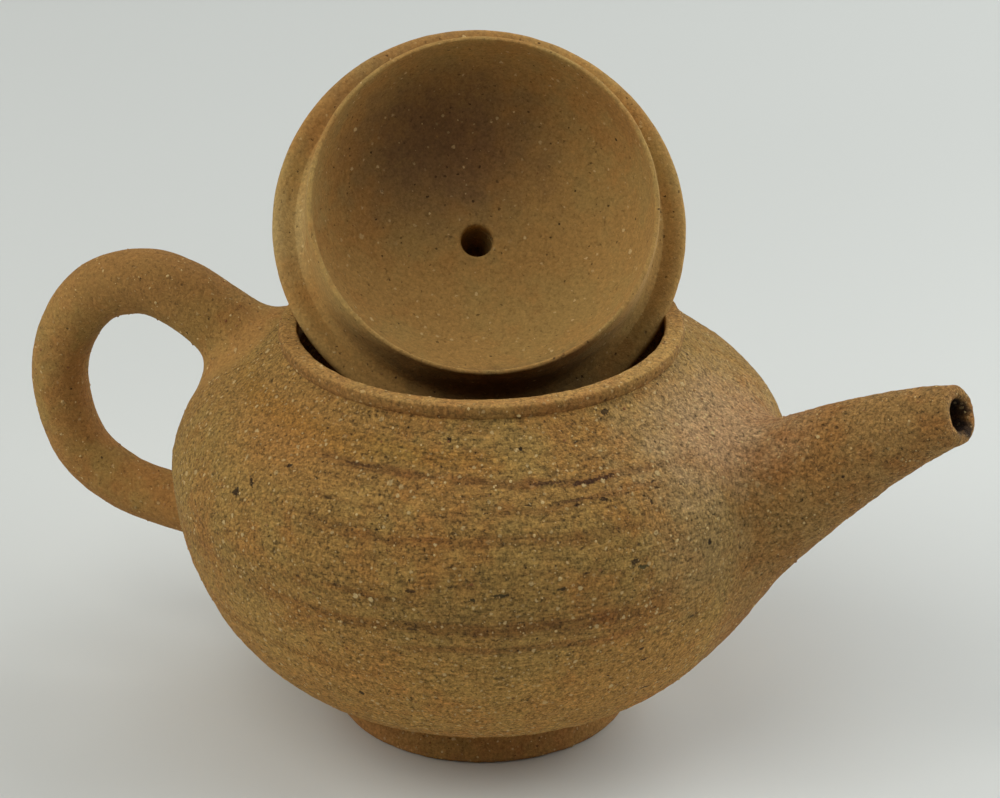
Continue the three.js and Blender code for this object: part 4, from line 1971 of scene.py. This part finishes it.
    def collar(self) -> bpy.types.Object:
        """Smooths the collar of the mouth: a flat top over an upright band with a soft crease under it.

        Returns:
            The piece.
        """
        rim, seam, mouth = self.rim_height, self.seam_height, self.mouth_radius
        line = [
            (27.6, seam), (28.0, seam + 1.0), (28.6, seam + 1.4), (28.95, seam + 1.9), (29.05, rim - 1.0),
            (28.98, rim - 0.35), (28.7, rim - 0.08), (28.2, rim - 0.02), (26.9, rim), (26.45, rim - 0.06),
            (mouth - 0.03, rim - 0.3), (mouth, seam + 1.7), (mouth + 0.05, seam),
        ]
        profile = np.concatenate([rounded(line, 72, 2), [[26.9, seam]]])
        piece = lathe("rim_collar", profile, self.sides, 0.3)
        self.wheel.mark(piece, Clay.RIM, depth=0.05, wobble=0.3, lumps=0.35)
        return seat(piece, "pot", "mouth_collar")

    def spout_piece(self) -> bpy.types.Object:
        """Forms the spout from its tip to the belly that it is melted into, and its bore back again.

        Returns:
            The piece.
        """
        grown, limb, last = self.at_spout, self.at_spout.limb, self.spout.steps
        clear = grown.stations[1]
        indices = list(range(last, clear - 1, -1))
        outer = grown.rings(indices, self.spout.planes(limb, indices))
        flare, marks = grown.flare(outer[-1])
        wide = grown.on_body(np.full(grown.count, math.radians(31)), 1.0)
        bore = self.spout.bore(limb, range(clear - 8, last + 1, 4), grown.count)
        skin = Skin()
        skin.add_all(outer, 0.0)
        skin.add_all(flare, marks)
        for share in (0.3, 0.6, 0.85):
            edge = flare[-1] + (wide - flare[-1]) * share
            skin.add_all(grown.tucked(edge, [0.0]), 1.0, 0.0)
        skin.add(wide, 1.0, 0.0)
        skin.add_all([wide + (bore[0] - wide) * share for share in (0.3, 0.6)], 0.0, 0.0)
        skin.add_all(bore[:-1], 0.0, 0.0)
        inner_lip = self.spout.bore(limb, [last], grown.count)[0]
        middle, half = (outer[0] + inner_lip) / 2, (outer[0] - inner_lip) / 2
        height = np.linalg.norm(half, axis=1).mean() * 0.75
        for angle in np.linspace(math.pi, 0, 13)[:-1]:
            skin.add(middle + half * math.cos(angle) + self.spout.cut() * height * math.sin(angle), 0.0)
        piece = skin.build("tapered_spout", looped=True)
        self.wheel.mark(piece, Clay.SPOUT, depth=0.16, wobble=0.35, lumps=0.5)
        return seat(piece, "pot", "spout")

    def handle_piece(self) -> bpy.types.Object:
        """Pulls the handle from the shoulder to the belly that its ends are melted into.

        Returns:
            The piece.
        """
        upper = self.at_top.rings(range(self.at_top.stations[1], self.handle_split))
        lower = self.at_foot.rings(range(self.at_foot.stations[1] + 1))
        top_flare, top_marks = self.at_top.flare(upper[0])
        low_flare, low_marks = self.at_foot.flare(lower[-1])
        inward = (0.12, 0.35, 0.6, 0.85)
        skin = Skin()
        skin.add_all(self.at_top.tucked(top_flare[-1], inward)[::-1], 1.0, 0.0)
        skin.add_all(top_flare[::-1], top_marks[::-1])
        skin.add_all([*upper, *lower], 0.0)
        skin.add_all(low_flare, low_marks)
        skin.add_all(self.at_foot.tucked(low_flare[-1], inward), 1.0, 0.0)
        piece = skin.build("pulled_handle", looped=False)
        self.wheel.mark(piece, Clay.HANDLE, depth=0.16, wobble=0.3, lumps=0.2)
        return seat(piece, "pot", "handle")


# The lid


@dataclass
class Lid:
    """The lid: a domed plate with a flange under it and a pierced knob on top."""

    wheel: Wheel
    lean: float = 38.5
    turn: float = 24.5
    centre: tuple[float, float, float] = (-3.16, 8.22, 71.8)
    radius: float = 29.9
    flange_radius: float = 25.3
    lip_radius: float = 24.95
    lip_width: float = 0.75
    flange_height: float = 10.8
    bowl_depth: float = 8.0
    bowl_roundness: float = 2.3
    crown_height: float = 11.3
    knob_height: float = 8.9
    vent_radius: float = 2.35
    vent_top: float = 1.2
    tuck: float = 0.3
    sides: int = 320

    def stand(self) -> Matrix:
        """Works out how the lid leans in the mouth.

        Returns:
            The move from where the lid is turned to where it leans.
        """
        tip = Matrix.Rotation(-math.radians(90 + self.lean), 4, "X")
        turned = Matrix.Rotation(math.radians(self.turn), 4, "Z")
        return Matrix.Translation(Vector(self.centre) * MM) @ turned @ tip

    def build(self) -> list[bpy.types.Object]:
        """Makes the lid's pieces.

        Returns:
            The pieces.
        """
        pieces = [
            self.finish("domed_plate", self.plate(), "lid_plate"),
            self.finish("lid_ring", self.flange(), "lid_flange"),
            self.finish("pierced_knob", self.knob(), "lid_knob"),
        ]
        grog = Grog("lid_grog", "lid", Slot.SMOOTH, per_square=0.05, seed=9, smallest=0.09, largest=0.24)
        return [*pieces, grog.build(pieces)]

    def finish(self, name: str, profile: np.ndarray, node: str) -> bpy.types.Object:
        """A spun piece of the lid, dressed and set where it leans.

        Args:
            name: The piece's name.
            profile: Closed line of radius and height.
            node: The node that it stands for.

        Returns:
            The piece.
        """
        piece = lathe(name, profile, self.sides)
        self.wheel.mark(piece, Clay.LID, depth=0.05, wobble=0.2, lumps=0.15)
        piece.data.transform(self.stand())
        return seat(piece, "lid", node)

    def bowl(self) -> np.ndarray:
        """The hollow, one smooth curve from the vent out to the flange's lip."""
        lip = (self.lip_radius - self.lip_width, -self.flange_height + 0.5)
        return quarter_curve((self.vent_radius + 0.35, self.bowl_depth), lip, self.bowl_roundness, 96)

    def bowl_part(self, kept: Callable[[np.ndarray], np.ndarray], low: float, high: float) -> np.ndarray:
        """A part of the hollow, whose end is tucked under the other piece's skin.

        Args:
            kept: Picks the points that belong to the part, by their heights.
            low: Height where it starts to be tucked.
            high: Height where it is tucked wholly.

        Returns:
            The part's points.
        """
        bowl = self.bowl()
        bowl = bowl[kept(bowl[:, 1])]
        return np.stack([bowl[:, 0] + self.tuck * smooth_step(low, high, bowl[:, 1]), bowl[:, 1]], 1)

    def plate(self) -> np.ndarray:
        """Draws the domed plate, with its ledge and the bowl's deeper part.

        Returns:
            Its profile.
        """
        rim = self.radius
        edge_end = (rim - 1.92, 2.2)
        corners = [
            (rim - 6.9, 0.3), (rim - 4.3, 0.4), (rim - 3.4, 0.5), (rim - 2.6, 0.3), (rim - 1.7, -0.05),
            (rim - 0.8, -0.1), (rim - 0.2, 0.15), (rim + 0.05, 0.9), (rim - 0.6, 1.75), edge_end,
        ]
        edge = rounded(corners, 40)
        dome = quarter_curve((6.4, self.crown_height), edge_end, 2.0, 48)[::-1]
        bowl = self.bowl_part(lambda height: height > -0.4, 0.7, -0.8)
        vent = [
            (self.vent_radius + 0.3, self.crown_height),
            (self.vent_radius, self.bowl_depth + 1.4),
            (self.vent_radius, self.bowl_depth + 0.5),
            (self.vent_radius + 0.1, self.bowl_depth + 0.15),
        ]
        return np.concatenate([edge, dome[1:], vent, bowl])

    def flange(self) -> np.ndarray:
        """Draws the ring under the plate, with the bowl's outer part.

        Returns:
            Its profile.
        """
        bowl = self.bowl_part(lambda height: height < 1.7, 0.1, 1.6)
        low, lip, ring = -self.flange_height, self.lip_radius, self.flange_radius
        line = [
            bowl[-1], (lip - self.lip_width + 0.12, low + 0.08), (lip - 0.6, low - 0.02),
            (lip - 0.08, low + 0.1), (lip, low + 0.7), (lip + 0.25, low + 3.6), (ring - 0.2, -4.0),
            (ring, -1.6), (ring + 0.3, -0.4), (ring + 1.0, 0.3), (ring + 1.8, 0.75),
        ]
        return np.concatenate([bowl[:-1], rounded(line, 84), [[ring, 1.5]]])

    def knob(self) -> np.ndarray:
        """Draws the knob, with the vent narrowing through it.

        Returns:
            Its profile.
        """
        base = self.crown_height - 0.8
        top = self.crown_height + self.knob_height
        line = [
            (7.9, base), (6.3, base + 1.3), (5.5, base + 2.6), (6.2, base + 4.0), (7.0, base + 5.6),
            (6.9, top - 2.2), (5.6, top - 0.4), (3.6, top), (1.7, top - 0.1), (self.vent_top, top - 0.6),
            (self.vent_top + 0.3, top - 3.0), (self.vent_radius, base + 1.6), (self.vent_radius, base),
        ]
        return np.concatenate([rounded(line, 72), [[4.4, base]]])


# The studio


def looking(eye: Vector, target: Vector) -> Matrix:
    """The place of a camera or lamp at eye that looks at target."""
    return Matrix.Translation(eye) @ (target - eye).to_track_quat("-Z", "Y").to_matrix().to_4x4()


@dataclass
class Studio:
    """The table, the lights and the camera."""

    view_turn: float = 20.0
    sensor: float = 36.0
    focal_pixels: float = 3321.0
    picture_width: int = 1000
    eye: tuple[float, float, float] = (2.63, -435.45, 250.18)
    target: tuple[float, float, float] = (2.63, 0.0, 48.23)
    roll: float = 0.0036
    lamp_target: tuple[float, float, float] = (0.0, 0.0, 40.0)
    lamp_distance: float = 1100.0
    lamp_side: float = 0.8
    table_reach: float = 6.0
    far_shade: Colour = (0.650, 0.673, 0.648, 1.0)
    near_shade: Colour = (0.775, 0.802, 0.776, 1.0)

    def turned(self, place: Sequence[float]) -> Vector:
        """A place seen from the camera's side as one in the pot's frame."""
        return (Matrix.Rotation(math.radians(self.view_turn), 3, "Z") @ Vector(place)) * MM

    def camera(self) -> None:
        """Places the camera."""
        data = bpy.data.cameras.new("view")
        data.sensor_width = self.sensor
        data.sensor_fit = "HORIZONTAL"
        data.lens = self.focal_pixels / self.picture_width * self.sensor
        data.clip_start = 0.01
        camera = placed_object("view", data)
        place = looking(self.turned(self.eye), self.turned(self.target))
        camera.matrix_world = place @ Matrix.Rotation(-self.roll, 4, "Z")
        bpy.context.scene.camera = camera

    def lamp(self, name: str, turn: float, rise: float, power: float, colour: Sequence[float]) -> None:
        """Adds a soft square lamp that looks at the pot.

        Args:
            name: Its name.
            turn: Its direction in degrees, from the right of the picture towards the back.
            rise: Its height in degrees above the table.
            power: Its power in watts.
            colour: Its colour.
        """
        data = bpy.data.lights.new(name, "AREA")
        data.size = self.lamp_side
        data.energy = power
        data.color = colour
        middle = Vector(self.lamp_target)
        spot = self.turned(middle + Vector(direction(turn, rise)) * self.lamp_distance)
        placed_object(name, data).matrix_world = looking(spot, middle * MM)

    def floor(self) -> None:
        """The pale table top, which runs on behind as the backdrop."""
        mesh = bpy.data.meshes.new("table")
        far = self.table_reach
        mesh.from_pydata([(-far, -far, 0), (far, -far, 0), (far, far, 0), (-far, far, 0)], [], [(0, 1, 2, 3)])
        table = placed_object("table", mesh)
        made, w = new_material("table_paper", self.near_shade)
        place = w.add("ShaderNodeTexCoord")["Object"]
        drift = w.noise(w.millimetres(place), 160, 2, 0.5)
        # Lighter towards the front right: partly the paper's own tone, partly painted light that lifts the
        # pot's shadow on the table under the spout.
        front = tuple(self.turned((0.6, -1.0, 0.0)) / MM)
        share = w.vector("DOT_PRODUCT", {0: place, 1: front}, 1).rise(-0.2, 0.06) * 0.85 + drift * 0.15
        colour = w.mix(share, self.far_shade, self.near_shade)
        shader = w.add("ShaderNodeBsdfPrincipled", {}, {"Base Color": colour, "Roughness": 0.9})
        w.add("ShaderNodeOutputMaterial", {}, {"Surface": shader[0]})
        mesh.materials.append(made)

    def air(self) -> None:
        """The even light of the room."""
        world = bpy.data.worlds.new("room")
        bpy.context.scene.world = world
        world.use_nodes = True
        world.node_tree.nodes.clear()
        w = Weave(world.node_tree)
        room = w.add("ShaderNodeBackground", {}, {"Color": (0.93, 0.97, 1.0, 1), "Strength": 0.02})
        w.add("ShaderNodeOutputWorld", {}, {"Surface": room[0]})

    def build(self) -> None:
        """Sets up the studio."""
        self.floor()
        self.air()
        self.camera()
        warm, plain, cool = (1.0, 0.985, 0.95), (1.0, 1.0, 0.99), (0.98, 1.0, 1.01)
        self.lamp("left_window", 180, 32, 4.6, warm)
        self.lamp("front_left", 225, 52, 4.0, warm)
        self.lamp("right_window", 0, 31, 5.2, cool)
        self.lamp("back_right", 45, 28, 5.8, cool)
        self.lamp("ceiling", 90, 89, 2.1, plain)
        bpy.context.scene.view_settings.view_transform = "Standard"


def main() -> None:
    """Builds the teapot and the studio round it."""
    logging.basicConfig(level=logging.INFO, format="%(message)s")
    wheel = Wheel()
    for piece in (*Pot(wheel).build(), *Lid(wheel).build()):
        LOG.info("%s: %d faces", piece.name, len(piece.data.polygons))
    Studio().build()


if __name__ == "__main__":
    main()
